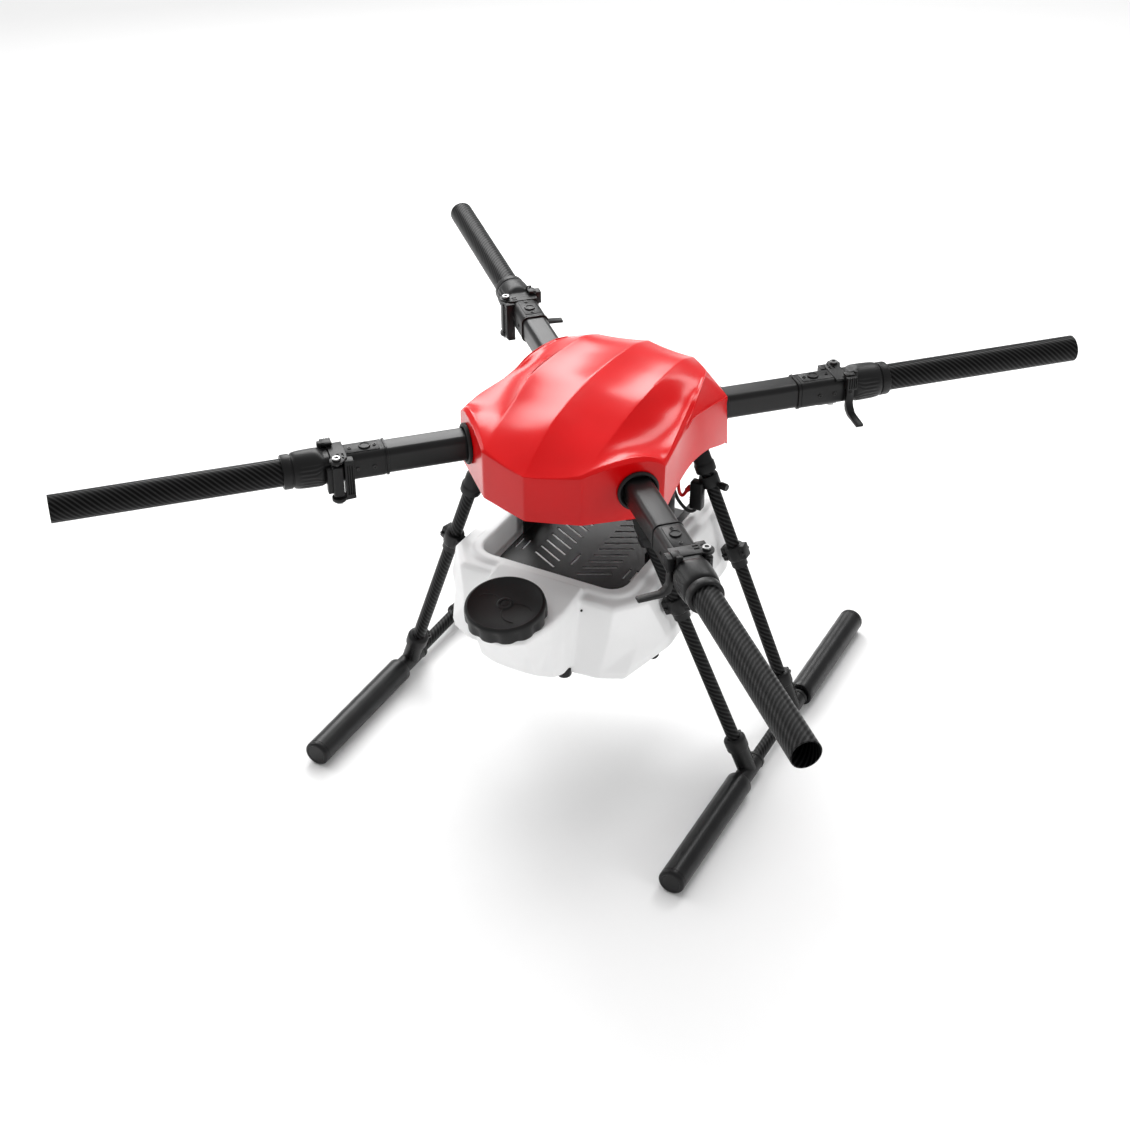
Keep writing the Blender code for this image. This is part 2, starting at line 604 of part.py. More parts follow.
def tank_mesh():
    levels = [
        (0.2130, [(0.060, -0.205), (0.108, -0.200), (0.142, -0.184), (0.166, -0.080), (0.160, 0.132), (0.145, 0.150)]),
        (0.2250, [(0.064, -0.202), (0.112, -0.198), (0.148, -0.180), (0.173, -0.085), (0.165, 0.138), (0.148, 0.156)]),
        (0.2650, [(0.066, -0.196), (0.118, -0.193), (0.154, -0.160), (0.182, -0.122), (0.170, 0.144), (0.150, 0.160)]),
        (0.2850, [(0.066, -0.193), (0.121, -0.190), (0.153, -0.158), (0.175, -0.128), (0.160, 0.144), (0.149, 0.156)]),
        (0.3310, [(0.068, -0.189), (0.127, -0.187), (0.140, -0.172), (0.160, -0.144), (0.150, 0.140), (0.138, 0.152)]),
        (TANK_TOP, [(0.066, -0.182), (0.122, -0.180), (0.134, -0.166), (0.151, -0.140), (0.142, 0.134), (0.130, 0.146)]),
    ]
    rings = [[(x, y, z) for x, y in mirrored_outline(half)] for z, half in levels]
    body = loft(rings)
    shelf = math.tan(MOUTH_TILT)
    bow_levels = [
        (0.2220, 0, [(0.064, -0.170), (0.064, -0.222), (0.056, -0.236), (0.034, -0.243), (0.012, -0.245)]),
        (0.2300, 0, [(0.068, -0.170), (0.068, -0.226), (0.061, -0.243), (0.036, -0.252), (0.013, -0.254)]),
        (0.3000, 0, [(0.070, -0.170), (0.070, -0.228), (0.064, -0.256), (0.043, -0.288), (0.015, -0.300)]),
        (MOUTH.z - 0.0115, shelf, [
            (0.071, -0.170), (0.071, -0.228), (0.065, -0.260), (0.046, -0.300), (0.016, -0.316),
        ]),
        (MOUTH.z - 0.0035, shelf, [
            (0.068, -0.170), (0.068, -0.226), (0.062, -0.258), (0.043, -0.296), (0.015, -0.311),
        ]),
    ]
    bow_rings = [
        [(x, y, z + slope * (y - MOUTH.y)) for x, y in mirrored_outline(half[::-1])] for z, slope, half in bow_levels
    ]
    near = BAY_HALF_WIDTH - BAY_CORNER
    bay_outline = mirrored_outline([
        (near, BAY_FRONT), (near + 0.5 * BAY_CORNER, BAY_FRONT + 0.14 * BAY_CORNER),
        (BAY_HALF_WIDTH - 0.14 * BAY_CORNER, BAY_FRONT + 0.5 * BAY_CORNER),
        (BAY_HALF_WIDTH, BAY_FRONT + BAY_CORNER), (BAY_HALF_WIDTH, 0.3),
    ])
    bay = prism(bay_outline, BAY_FLOOR, 0.5)
    neck = moved(turned([(NECK_RADIUS, -0.012), (NECK_RADIUS, NECK_TOP)]), mouth_frame())
    outside = carved(body, add=[loft(bow_rings), neck], cut=[bay])
    mouth_radius = NECK_RADIUS - TANK_WALL - 0.0008
    mouth = moved(turned([(mouth_radius, NECK_TOP - 0.006), (mouth_radius, NECK_TOP + 0.02)]), mouth_frame())
    return carved(shelled(outside, TANK_WALL), cut=[mouth])


def lid_outline(radius, height, sides, depth):
    """A round outline with shallow finger scallops."""
    points = []
    for i in range(sides):
        angle = 2 * math.pi * i / sides
        reach = radius - depth * (0.5 - 0.5 * math.cos(LID_LOBES * angle))
        points.append((reach * math.cos(angle), reach * math.sin(angle), height))
    return points


def tank_lid_mesh():
    sides = LID_LOBES * 4
    inner = LID_BORE
    cavity = 0.0228
    rings = [
        lid_outline(inner, 0.001, sides, 0),
        lid_outline(LID_RADIUS - 0.001, 0.001, sides, 0.0015),
        lid_outline(LID_RADIUS, 0.004, sides, 0.0025),
        lid_outline(LID_RADIUS, LID_HEIGHT - 0.006, sides, 0.0025),
        lid_outline(LID_RADIUS - 0.0015, LID_HEIGHT - 0.002, sides, 0.0008),
        lid_outline(LID_RADIUS - 0.0045, LID_HEIGHT, sides, 0),
    ]
    shape = bmesh.new()
    loops = [[shape.verts.new(point) for point in ring] for ring in rings]
    loops.insert(0, [shape.verts.new((x, y, cavity)) for x, y, z in rings[0]])
    for lower, upper in zip(loops, loops[1:]):
        for i in range(sides):
            j = (i + 1) % sides
            shape.faces.new((lower[i], lower[j], upper[j], upper[i]))
    shape.faces.new(loops[0])
    shape.faces.new(loops[-1])
    return finished(shape)


def lid_seal_mesh():
    low, high = NECK_TOP + CLEARANCE, 0.0228 - CLEARANCE
    return turned([(NECK_RADIUS, low), (NECK_RADIUS, high), (0.0350, high), (0.0350, low)], closed=True)


# ---- Top cover ----

def cover_lines():
    """The right half of the cover: lines over its top from nose to tail, and lines round its wall from nose to tail."""
    centre = [
        (0, -0.2110, 0.5400), (0, -0.1650, 0.5680), (0, -0.1300, 0.5815), (0, -0.0950, 0.5885), (0, -0.0600, 0.5935),
        (0, -0.0200, 0.5965), (0, 0.0250, 0.5945), (0, 0.0750, 0.5900), (0, 0.1300, 0.5815), (0, 0.1780, 0.5660),
    ]
    crest = [
        (0.0765, -0.1905, 0.5480), (0.0808, -0.1500, 0.5600), (0.0823, -0.1200, 0.5675), (0.0839, -0.0900, 0.5749),
        (0.0860, -0.0580, 0.5829), (0.0880, -0.0220, 0.5890), (0.0862, 0.0200, 0.5890), (0.0843, 0.0650, 0.5863),
        (0.0825, 0.1200, 0.5800), (0.0800, 0.1660, 0.5630),
    ]
    hollow = [
        (0.1310, -0.1310, 0.5620), (0.1270, -0.1120, 0.5570), (0.1230, -0.0850, 0.5560), (0.1200, -0.0550, 0.5590),
        (0.1175, -0.0200, 0.5635), (0.1140, 0.0150, 0.5665), (0.1120, 0.0500, 0.5715), (0.1096, 0.0850, 0.5745),
        (0.1043, 0.1200, 0.5715), (0.0990, 0.1500, 0.5640),
    ]
    side_crest = [
        (0.1625, -0.1080, 0.5465), (0.1600, -0.0950, 0.5500), (0.1558, -0.0700, 0.5542), (0.1502, -0.0420, 0.5560),
        (0.1441, -0.0120, 0.5575), (0.1384, 0.0180, 0.5605), (0.1342, 0.0450, 0.5659), (0.1285, 0.0750, 0.5683),
        (0.1213, 0.1080, 0.5690), (0.1153, 0.1330, 0.5650),
    ]
    panel = [
        tuple((a + b) / 2 for a, b in zip(start, end)) for start, end in zip(centre, crest)
    ]
    sags = (0.0035, 0.0030, 0.0035, 0.0040, 0.0040, 0.0040, 0.0040, 0.0035, 0.0020, 0.0)
    panel = [(x, y - 0.004, z - sag) for (x, y, z), sag in zip(panel, sags)]
    wall_top = [
        (0, -0.2165, 0.5375), (0.0400, -0.2055, 0.5395), (0.0785, -0.1945, 0.5445), (0.1360, -0.1360, 0.5575),
        (0.1645, -0.1085, 0.5425), (0.1628, -0.0920, 0.5453), (0.1597, -0.0660, 0.5490), (0.1549, -0.0380, 0.5485),
        (0.1505, -0.0080, 0.5465), (0.1475, 0.0220, 0.5486), (0.1490, 0.0500, 0.5460), (0.1508, 0.0780, 0.5419),
        (0.1530, 0.1080, 0.5367), (0.1545, 0.1260, 0.5345), (0.1400, 0.1430, 0.5330), (0.0920, 0.1900, 0.5320),
        (0.0460, 0.1970, 0.5340), (0, 0.2000, 0.5360),
    ]
    bottom = [
        (0, -0.2160, 0.4640), (0.0400, -0.2050, 0.4655), (0.0785, -0.1935, 0.4670), (0.1360, -0.1360, 0.4630),
        (0.1635, -0.1090, 0.4620), (0.1630, -0.0950, 0.4680), (0.1620, -0.0700, 0.4780), (0.1610, -0.0400, 0.4870),
        (0.1600, -0.0080, 0.4910), (0.1600, 0.0220, 0.4890), (0.1600, 0.0520, 0.4830), (0.1600, 0.0820, 0.4720),
        (0.1590, 0.1080, 0.4620), (0.1580, 0.1260, 0.4560), (0.1440, 0.1440, 0.4460), (0.0950, 0.1930, 0.4500),
        (0.0480, 0.1990, 0.4510), (0, 0.2040, 0.4520),
    ]
    flank = [
        (0.1614, -0.0930, 0.5476), (0.1580, -0.0680, 0.5518), (0.1530, -0.0400, 0.5528), (0.1485, -0.0090, 0.5520),
        (0.1443, 0.0200, 0.5550), (0.1397, 0.0470, 0.5640), (0.1330, 0.0760, 0.5684), (0.1248, 0.1080, 0.5686),
    ]
    rim = [line[0] for line in (centre, panel, crest, hollow, side_crest)] + side_crest[1:-1]
    rim += [line[-1] for line in (side_crest, hollow, crest, panel, centre)]
    edge = [tuple((a + b) / 2 for a, b in zip(high, low)) for high, low in zip(rim, wall_top)]
    edge[5:13] = flank
    return [centre, panel, crest, hollow, side_crest], [edge, wall_top, bottom]


def cover_mesh():
    """The skin over the top's lines, hung with the wall, and thickened."""
    top_lines, wall_lines = cover_lines()
    shape = bmesh.new()
    for side in (1, -1):
        top = [[shape.verts.new((side * x, y, z)) for x, y, z in line] for line in top_lines]
        walls = [[shape.verts.new((side * x, y, z)) for x, y, z in line] for line in wall_lines]
        rim = [line[0] for line in top] + top[-1][1:-1] + [line[-1] for line in reversed(top)]
        for first, second in [*zip(top, top[1:]), *zip([rim, *walls], walls)]:
            for i in range(len(first) - 1):
                shape.faces.new((first[i], first[i + 1], second[i + 1], second[i]))
    bmesh.ops.remove_doubles(shape, verts=shape.verts, dist=1e-6)
    bmesh.ops.recalc_face_normals(shape, faces=shape.faces)
    highest = max(shape.faces, key=lambda face: face.calc_center_median().z)
    if highest.normal.z < 0:
        bmesh.ops.reverse_faces(shape, faces=shape.faces)
    skin = bpy.data.meshes.new("skin")
    shape.to_mesh(skin)
    shape.free()
    holes = []
    for corner, angle in ARM_ANGLES.items():
        exit_distance = FRONT_EXIT if corner.startswith("front") else REAR_EXIT
        hole = rod(GROMMET_HOLE_RADIUS, (exit_distance - 0.02, 0, 0), (exit_distance + 0.02, 0, 0))
        turn = Matrix.Translation((0, 0, ARM_HEIGHT)) @ Matrix.Rotation(math.radians(angle), 4, "Z")
        holes.append(moved(hole, turn))
    return carved(shelled(skin, COVER_WALL), cut=holes)


# ---- Power leads ----

def smooth_route(points, count):
    """Points on a smooth curve through the given ones."""
    route = [Vector(point) for point in points]
    ends = [2 * route[0] - route[1]] + route + [2 * route[-1] - route[-2]]
    spans = len(route) - 1
    result = []
    for i in range(count):
        place_on = i * spans / (count - 1)
        span = min(int(place_on), spans - 1)
        t = place_on - span
        a, b, c, d = ends[span : span + 4]
        result.append(
            0.5 * (2 * b + (c - a) * t + (2 * a - 5 * b + 4 * c - d) * t * t + (3 * b - a - 3 * c + d) * t ** 3)
        )
    return result


def lead_mesh(route, radius):
    curve = bpy.data.curves.new("lead", "CURVE")
    curve.dimensions = "3D"
    curve.bevel_depth = radius
    curve.bevel_resolution = 2
    curve.use_fill_caps = True
    points = smooth_route(route, 22)
    spline = curve.splines.new("POLY")
    spline.points.add(len(points) - 1)
    for target, point in zip(spline.points, points):
        target.co = (*point, 1)
    holder = bpy.data.objects.new("lead", curve)
    bpy.context.scene.collection.objects.link(holder)
    bpy.context.view_layer.update()
    result = bpy.data.meshes.new_from_object(holder.evaluated_get(bpy.context.evaluated_depsgraph_get()))
    bpy.data.objects.remove(holder)
    return result


def plug_holder_mesh():
    """A clamp round the rear right leg, with the battery plug on its inner side and a thumb screw outside."""
    low, high = leg_point("rear", PLUG_HEIGHT - 0.009), leg_point("rear", PLUG_HEIGHT + 0.009)
    ring = rod(0.0150, low, high, THIN_SIDES)
    plug = box((0.1205, 0.0790, 0.3545), (0.1400, 0.0940, 0.4020), 0.002)
    screw = rod(0.0055, (0.1550, 0.0980, 0.3990), (0.1760, 0.0930, 0.3990), THIN_SIDES)
    bore = rod(LEG_RADIUS + CLEARANCE, leg_point("rear", 0.33), leg_point("rear", 0.44), THIN_SIDES)
    return carved(ring, add=[plug, screw], cut=[bore])


def lead_end(hole):
    """The last stretch of a lead: up through the lower plate to the underside of the power board."""
    top = ARM_HEIGHT + CLAMP_HALF_WIDTH - CLEARANCE
    return [(*hole, PLATE_BOTTOM - 0.002), (*hole, PLATE_BOTTOM + 0.010), (*hole, top)]


def red_lead_route():
    return [
        (0.1194, 0.0865, 0.3900), (0.1158, 0.0865, 0.3897), (0.1100, 0.0860, 0.3735), (0.1050, 0.0850, 0.3690),
        (0.1010, 0.0840, 0.3760), (0.1005, 0.0810, 0.3950), (0.1040, 0.0740, 0.4300), *lead_end(RED_LEAD_HOLE),
    ]


def black_lead_route():
    return [
        (0.1290, 0.0865, 0.3535), (0.1283, 0.0860, 0.3490), (0.1200, 0.0800, 0.3480), (0.1076, 0.0760, 0.3610),
        (0.1005, 0.0730, 0.3760), (0.0965, 0.0680, 0.4000), (0.0960, 0.0560, 0.4400), *lead_end(BLACK_LEAD_HOLE),
    ]


def build():
    carbon = material("carbon", (0.022, 0.022, 0.022), 0.45)
    plastic = material("black_plastic", (0.028, 0.028, 0.029), 0.5)
    rubber = material("rubber", (0.015, 0.015, 0.015), 0.6)
    foam = material("foam", (0.012, 0.012, 0.013), 0.35)
    steel = material("steel", (0.62, 0.62, 0.62), 0.25, 1.0)
    red = material("red_gloss", (0.65, 0.008, 0.01), 0.22)
    white = material("tank_white", (0.86, 0.86, 0.85), 0.38)
    red_rubber = material("red_rubber", (0.7, 0.01, 0.01), 0.45)
    board = material("board_green", (0.03, 0.10, 0.05), 0.5)

    build_arms(carbon, plastic, steel, rubber)
    build_landing_gear(carbon, plastic, foam)
    place("center_frame", center_frame_mesh(), plastic)
    place("power_board", power_board_mesh(), board)
    place("battery_tray", battery_tray_mesh(), plastic)
    place("tank", tank_mesh(), white)
    mouth = pivot("mouth_axis", MOUTH, turn=(MOUTH_TILT, 0, 0))
    place("tank_lid", tank_lid_mesh(), plastic, mouth)
    place("lid_seal", lid_seal_mesh(), rubber, mouth)
    place("top_cover", cover_mesh(), red)
    place("plug_holder", plug_holder_mesh(), plastic)
    place("power_lead_red", lead_mesh(red_lead_route(), LEAD_RADIUS), red_rubber)
    place("power_lead_black", lead_mesh(black_lead_route(), LEAD_RADIUS), rubber)


for leftover in list(bpy.data.objects):
    bpy.data.objects.remove(leftover)
build()
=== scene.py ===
"""Looks of a folding spray drone frame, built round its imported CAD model. Metres, +Z up, nose towards -Y."""

import math

import bmesh
import bpy
from mathutils import Matrix, Vector


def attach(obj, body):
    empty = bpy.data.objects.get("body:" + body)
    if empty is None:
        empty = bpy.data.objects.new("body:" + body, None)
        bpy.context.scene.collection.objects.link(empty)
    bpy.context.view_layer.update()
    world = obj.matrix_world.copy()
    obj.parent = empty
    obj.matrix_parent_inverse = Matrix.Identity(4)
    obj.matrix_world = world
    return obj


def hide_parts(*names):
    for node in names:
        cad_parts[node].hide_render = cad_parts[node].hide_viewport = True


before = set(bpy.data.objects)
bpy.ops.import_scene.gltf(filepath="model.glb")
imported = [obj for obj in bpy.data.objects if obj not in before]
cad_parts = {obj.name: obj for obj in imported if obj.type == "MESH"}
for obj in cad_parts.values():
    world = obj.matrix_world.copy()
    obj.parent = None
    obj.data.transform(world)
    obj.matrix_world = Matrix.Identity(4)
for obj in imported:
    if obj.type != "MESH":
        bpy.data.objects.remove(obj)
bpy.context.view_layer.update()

scene = bpy.context.scene

# Arms, in the arm's own frame: distance along it, sideways to its left, and up from its axis
ARM_HEIGHT = 0.512
ARM_ANGLES = {"front_right": -45, "rear_right": 45, "rear_left": 135, "front_left": 225}
BEAM_HALF = 0.020
BEAM_CORNER = 0.0098
SLEEVE_HALF = 0.0215
SLEEVE_CORNER = 0.0105
JOINT_FACE = 0.3955
HINGE = Vector((0.389, 0.027, 0))
LUG_RADIUS = 0.0105
LUG_TOP = 0.0225
LUG_BOTTOM = -0.043
TUBE_RADIUS = 0.020
TUBE_WALL = 0.0016
TUBE_START = 0.4125
TUBE_TIP = 0.784
EXITS = {"front": 0.1932, "rear": 0.2028}
REAR_OPENING = 0.0216
WEAVE_PITCH = 0.0085

# Landing gear, on the +X side
SKID_ASIDE = 0.302
FOAM_RADIUS = 0.020
LEG_RADIUS = 0.010
FOAM_ENDS = {"front": (-0.348, -0.104), "rear": (0.371, 0.137)}
LEG_FEET = {"front": Vector((0.302, -0.072, 0.020)), "rear": Vector((0.302, 0.102, 0.020))}
LEG_HEADS = {"front": Vector((0.1225, -0.1215, 0.4825)), "rear": Vector((0.111, 0.098, 0.4825))}
SLEEVE_HEIGHTS = {"front": 0.312, "rear": 0.283}

# Tank, tray and plates
MOUTH = Vector((0, -0.272, 0.336))
MOUTH_TILT = math.radians(8)
NECK_RADIUS = 0.0420
LID_RADIUS = 0.0590
LID_HEIGHT = 0.027
LID_LOBES = 12
TANK_TOP = 0.342
BAY_FLOOR = 0.300
TRAY_BOTTOM = 0.3042
TRAY_TOP = 0.3072
TRAY_HALF_WIDTH = 0.105
PLATE_BOTTOM = 0.4825


# ---- Mesh helpers ----

def mesh_from(shape):
    bmesh.ops.recalc_face_normals(shape, faces=shape.faces)
    mesh = bpy.data.meshes.new("shape")
    shape.to_mesh(mesh)
    shape.free()
    return mesh


def loft(rings, closed=False, hand=1):
    """A skin over rings of points, with a map of weave repeats round it and along it."""
    shape = bmesh.new()
    weave = shape.loops.layers.uv.new("weave")
    loops = [[shape.verts.new(point) for point in ring] for ring in rings]
    count = len(rings[0])
    middles = [sum((Vector(p) for p in ring), Vector()) / count for ring in rings]
    travelled = [0.0]
    for k, middle in enumerate(middles):
        travelled.append(travelled[-1] + (middles[(k + 1) % len(middles)] - middle).length)
    first = [Vector(p) for p in rings[0]]
    perimeter = sum((a - b).length for a, b in zip(first, first[1:] + first[:1]))
    repeats = max(1, round(perimeter / WEAVE_PITCH))
    for k in range(len(loops) - (not closed)):
        lower, upper = loops[k], loops[(k + 1) % len(loops)]
        for i in range(count):
            j = (i + 1) % count
            face = shape.faces.new((lower[i], lower[j], upper[j], upper[i]))
            for loop, (column, row) in zip(face.loops, ((i, k), (i + 1, k), (i + 1, k + 1), (i, k + 1))):
                loop[weave].uv = (hand * repeats * column / count, travelled[row] / WEAVE_PITCH)
    if not closed:
        shape.faces.new(loops[0])
        shape.faces.new(loops[-1])
    return mesh_from(shape)


def moved(mesh, matrix):
    mesh.transform(matrix)
    return mesh


def along(start, end):
    """The matrix that takes +Z to the direction from start to end, and the origin to start."""
    direction = Vector(end) - Vector(start)
    return Matrix.Translation(start) @ direction.to_track_quat("Z", "Y").to_matrix().to_4x4()


def circle(radius, height, sides=48):
    angles = [2 * math.pi * i / sides for i in range(sides)]
    return [(radius * math.cos(a), radius * math.sin(a), height) for a in angles]


def hexagon(radius, height, sides=48):
    """A hexagon with as many points as a circle of the same call."""
    points = []
    for i in range(sides):
        angle = 2 * math.pi * i / sides
        reach = radius * math.cos(math.pi / 6) / math.cos(angle % (math.pi / 3) - math.pi / 6)
        points.append((reach * math.cos(angle), reach * math.sin(angle), height))
    return points


def turned(profile, sides=48, closed=False):
    """A turned solid round Z from (radius, height) pairs."""
    return loft([circle(radius, height, sides) for radius, height in profile], closed)


def stack(profile, start, end, sides=48):
    """A turned solid whose heights are counted from start towards end."""
    return moved(turned(profile, sides), along(start, end))


def rod(radius, start, end, sides=32, edge=0.0):
    length = (Vector(end) - Vector(start)).length
    profile = [(radius, 0), (radius, length)]
    if edge:
        profile = [(radius - edge, 0), (radius, edge), (radius, length - edge), (radius - edge, length)]
    return stack(profile, start, end, sides)


def box(low, high, edge=0.0, segments=2):
    shape = bmesh.new()
    bmesh.ops.create_cube(shape, size=1)
    size = Vector(high) - Vector(low)
    middle = (Vector(high) + Vector(low)) / 2
    bmesh.ops.transform(shape, verts=shape.verts, matrix=Matrix.Translation(middle) @ Matrix.Diagonal((*size, 1)))
    if edge:
        bmesh.ops.bevel(shape, geom=shape.edges, offset=edge, segments=segments, profile=0.5, affect="EDGES")
    return mesh_from(shape)


def prism(outline, low, high, axes="xyz", edge=0.0):
    """An outline in the first two axes, extruded along the third, with its rims rounded off by edge."""
    shape = bmesh.new()
    order = [axes.index(axis) for axis in "xyz"]
    rings = []
    for w in (low, high):
        rings.append([shape.verts.new(tuple((u, v, w)[i] for i in order)) for u, v in outline])
    for i in range(len(outline)):
        j = (i + 1) % len(outline)
        shape.faces.new((rings[0][i], rings[0][j], rings[1][j], rings[1][i]))
    caps = [shape.faces.new(ring) for ring in rings]
    if edge:
        rims = {e for cap in caps for e in cap.edges}
        bmesh.ops.recalc_face_normals(shape, faces=shape.faces)
        bmesh.ops.bevel(shape, geom=list(rims), offset=edge, segments=2, profile=0.5, affect="EDGES")
    return mesh_from(shape)


def joined(*meshes):
    shape = bmesh.new()
    for mesh in meshes:
        shape.from_mesh(mesh)
    result = bpy.data.meshes.new("joined")
    shape.to_mesh(result)
    shape.free()
    return result


def evaluated(mesh, settings):
    """The mesh after modifiers, given as (type, {setting: value}) pairs."""
    work = bpy.data.objects.new("work", mesh)
    scene.collection.objects.link(work)
    for kind, values in settings:
        modifier = work.modifiers.new(kind, kind)
        for key, value in values.items():
            setattr(modifier, key, value)
    bpy.context.view_layer.update()
    result = bpy.data.meshes.new_from_object(work.evaluated_get(bpy.context.evaluated_depsgraph_get()))
    bpy.data.objects.remove(work)
    return result


def carved(mesh, add=(), cut=(), folded=False):
    """The mesh with others joined to it and then others cut from it; folded says that it may cross itself."""
    helpers, settings = [], []
    for operation, tools in (("UNION", add), ("DIFFERENCE", cut)):
        for tool in tools:
            helper = bpy.data.objects.new("tool", tool)
            scene.collection.objects.link(helper)
            helpers.append(helper)
            settings.append(("BOOLEAN", {"operation": operation, "object": helper, "use_self": folded}))
    result = evaluated(mesh, settings)
    for helper in helpers:
        bpy.data.objects.remove(helper)
    return result


def mirrored(mesh):
    copy = mesh.copy()
    copy.transform(Matrix.Diagonal((-1, 1, 1, 1)))
    copy.flip_normals()
    return copy


def ring(distance, half, corner, steps=12, flute=0.0):
    """A rounded square round the arm's axis; a circle when corner equals half. Flutes run on its two sides."""
    points = []
    inset = half - corner
    for quarter in range(4):
        across = inset if quarter in (0, 3) else -inset
        up = inset if quarter < 2 else -inset
        for step in range(steps):
            angle = math.radians(90 * (quarter + (step + 0.5) / steps))
            aside = abs((angle + math.pi / 2) % math.pi - math.pi / 2)
            depth = 0.0
            if flute and aside < FLUTED:
                depth = flute * (0.5 - 0.5 * math.cos(2 * math.pi * aside / FLUTE_STEP))
            reach = corner - depth
            points.append((distance, across + reach * math.cos(angle), up + reach * math.sin(angle)))
    return points


FLUTE_STEP = math.radians(13)
FLUTED = 3 * FLUTE_STEP


def screw_head(position, direction, radius=0.0028, height=0.0014):
    """A socket-head screw that stands on a face."""
    profile = [
        circle(radius, -0.001, 24), circle(radius, height * 0.7, 24), circle(radius * 0.86, height, 24),
        hexagon(radius * 0.56, height, 24), hexagon(radius * 0.5, height * 0.3, 24),
    ]
    start = Vector(position)
    return moved(loft(profile), along(start, start + Vector(direction)))


def add(name, mesh, finish, body, nodes=(), slot=None, matrix=None, edge=0.0, sharp=38):
    """Puts a piece in the scene: it rides on a body and stands for the CAD nodes."""
    piece = bpy.data.objects.new(name, mesh)
    scene.collection.objects.link(piece)
    if matrix:
        piece.matrix_world = matrix
    mesh.materials.clear()
    mesh.materials.append(finish)
    mesh.shade_smooth()
    mesh.set_sharp_from_angle(angle=math.radians(sharp))
    if edge:
        bevel = piece.modifiers.new("edge", "BEVEL")
        bevel.width = edge
        bevel.segments = 2
        bevel.limit_method = "ANGLE"
        bevel.angle_limit = math.radians(40)
        bevel.harden_normals = True
    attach(piece, body)
    if nodes:
        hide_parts(*nodes)
    return piece


# ---- Materials ----

def node(tree, kind, **values):
    made = tree.nodes.new(kind)
    for key, value in values.items():
        if key in made.inputs:
            made.inputs[key].default_value = value
        else:
            setattr(made, key, value)
    return made


def ramp(tree, factor, low, high, start=0.3, stop=0.7):
    made = tree.nodes.new("ShaderNodeValToRGB")
    for element, position, color in zip(made.color_ramp.elements, (start, stop), (low, high)):
        element.position = position
        element.color = (*color, 1)
    tree.links.new(factor, made.inputs["Fac"])
    return made.outputs["Color"]


def surface(name, dark, light, roughness, grain, relief, gloss_spread=0.06, metallic=0.0, coat=0.0, shine=0.3):
    """A moulded or painted surface: fine grain in its relief, slow changes of colour and gloss."""
    made = bpy.data.materials.new(name + "_finish")
    made["slot"] = name
    made.use_nodes = True
    tree = made.node_tree
    shader = tree.nodes["Principled BSDF"]
    shader.inputs["Metallic"].default_value = metallic
    shader.inputs["Specular IOR Level"].default_value = shine
    shader.inputs["Coat Weight"].default_value = coat
    shader.inputs["Coat Roughness"].default_value = 0.18
    place = tree.nodes.new("ShaderNodeTexCoord").outputs["Object"]
    cloud = node(tree, "ShaderNodeTexNoise", Scale=14.0, Detail=4.0)
    speck = node(tree, "ShaderNodeTexNoise", Scale=grain, Detail=2.0)
    for texture in (cloud, speck):
        tree.links.new(place, texture.inputs["Vector"])
    tree.links.new(ramp(tree, cloud.outputs["Fac"], dark, light), shader.inputs["Base Color"])
    spread = node(tree, "ShaderNodeMapRange")
    spread.inputs["To Min"].default_value = roughness - gloss_spread
    spread.inputs["To Max"].default_value = roughness + gloss_spread
    tree.links.new(cloud.outputs["Fac"], spread.inputs["Value"])
    tree.links.new(spread.outputs["Result"], shader.inputs["Roughness"])
    bump = node(tree, "ShaderNodeBump", Strength=relief, Distance=0.0004)
    tree.links.new(speck.outputs["Fac"], bump.inputs["Height"])
    tree.links.new(bump.outputs["Normal"], shader.inputs["Normal"])
    return made


def math_node(tree, operation, first, second=None):
    made = node(tree, "ShaderNodeMath", operation=operation)
    for socket, value in zip(made.inputs, (first, second)):
        if value is None:
            continue
        if isinstance(value, (int, float)):
            socket.default_value = value
        else:
            tree.links.new(value, socket)
    return made.outputs[0]


def twill(name, dark, light):
    """Carbon twill: diagonal ribs of fibre, each broken up where the threads cross it."""
    made = bpy.data.materials.new(name + "_finish")
    made["slot"] = name
    made.use_nodes = True
    tree = made.node_tree
    shader = tree.nodes["Principled BSDF"]
    shader.inputs["Specular IOR Level"].default_value = 0.10
    shader.inputs["Coat Weight"].default_value = 0.03
    shader.inputs["Coat Roughness"].default_value = 0.2
    weave = node(tree, "ShaderNodeUVMap", uv_map="weave")
    split = tree.nodes.new("ShaderNodeSeparateXYZ")
    tree.links.new(weave.outputs["UV"], split.inputs["Vector"])
    u, v = split.outputs["X"], split.outputs["Y"]
    rib = math_node(tree, "SINE", math_node(tree, "MULTIPLY", math_node(tree, "SUBTRACT", u, v), 2 * math.pi))
    cross = math_node(tree, "SINE", math_node(tree, "MULTIPLY", math_node(tree, "ADD", u, v), 6 * math.pi))
    mixed = math_node(tree, "ADD", math_node(tree, "MULTIPLY", rib, 0.42), math_node(tree, "MULTIPLY", cross, 0.10))
    height = math_node(tree, "ADD", mixed, 0.5)
    tree.links.new(ramp(tree, height, dark, light, 0.42, 0.80), shader.inputs["Base Color"])
    gloss = node(tree, "ShaderNodeMapRange")
    gloss.inputs["To Min"].default_value = 0.5
    gloss.inputs["To Max"].default_value = 0.34
    tree.links.new(height, gloss.inputs["Value"])
    tree.links.new(gloss.outputs["Result"], shader.inputs["Roughness"])
    bump = node(tree, "ShaderNodeBump", Strength=0.35, Distance=0.0004)
    tree.links.new(height, bump.inputs["Height"])
    tree.links.new(bump.outputs["Normal"], shader.inputs["Normal"])
    return made


# ---- Camera, light and floor ----

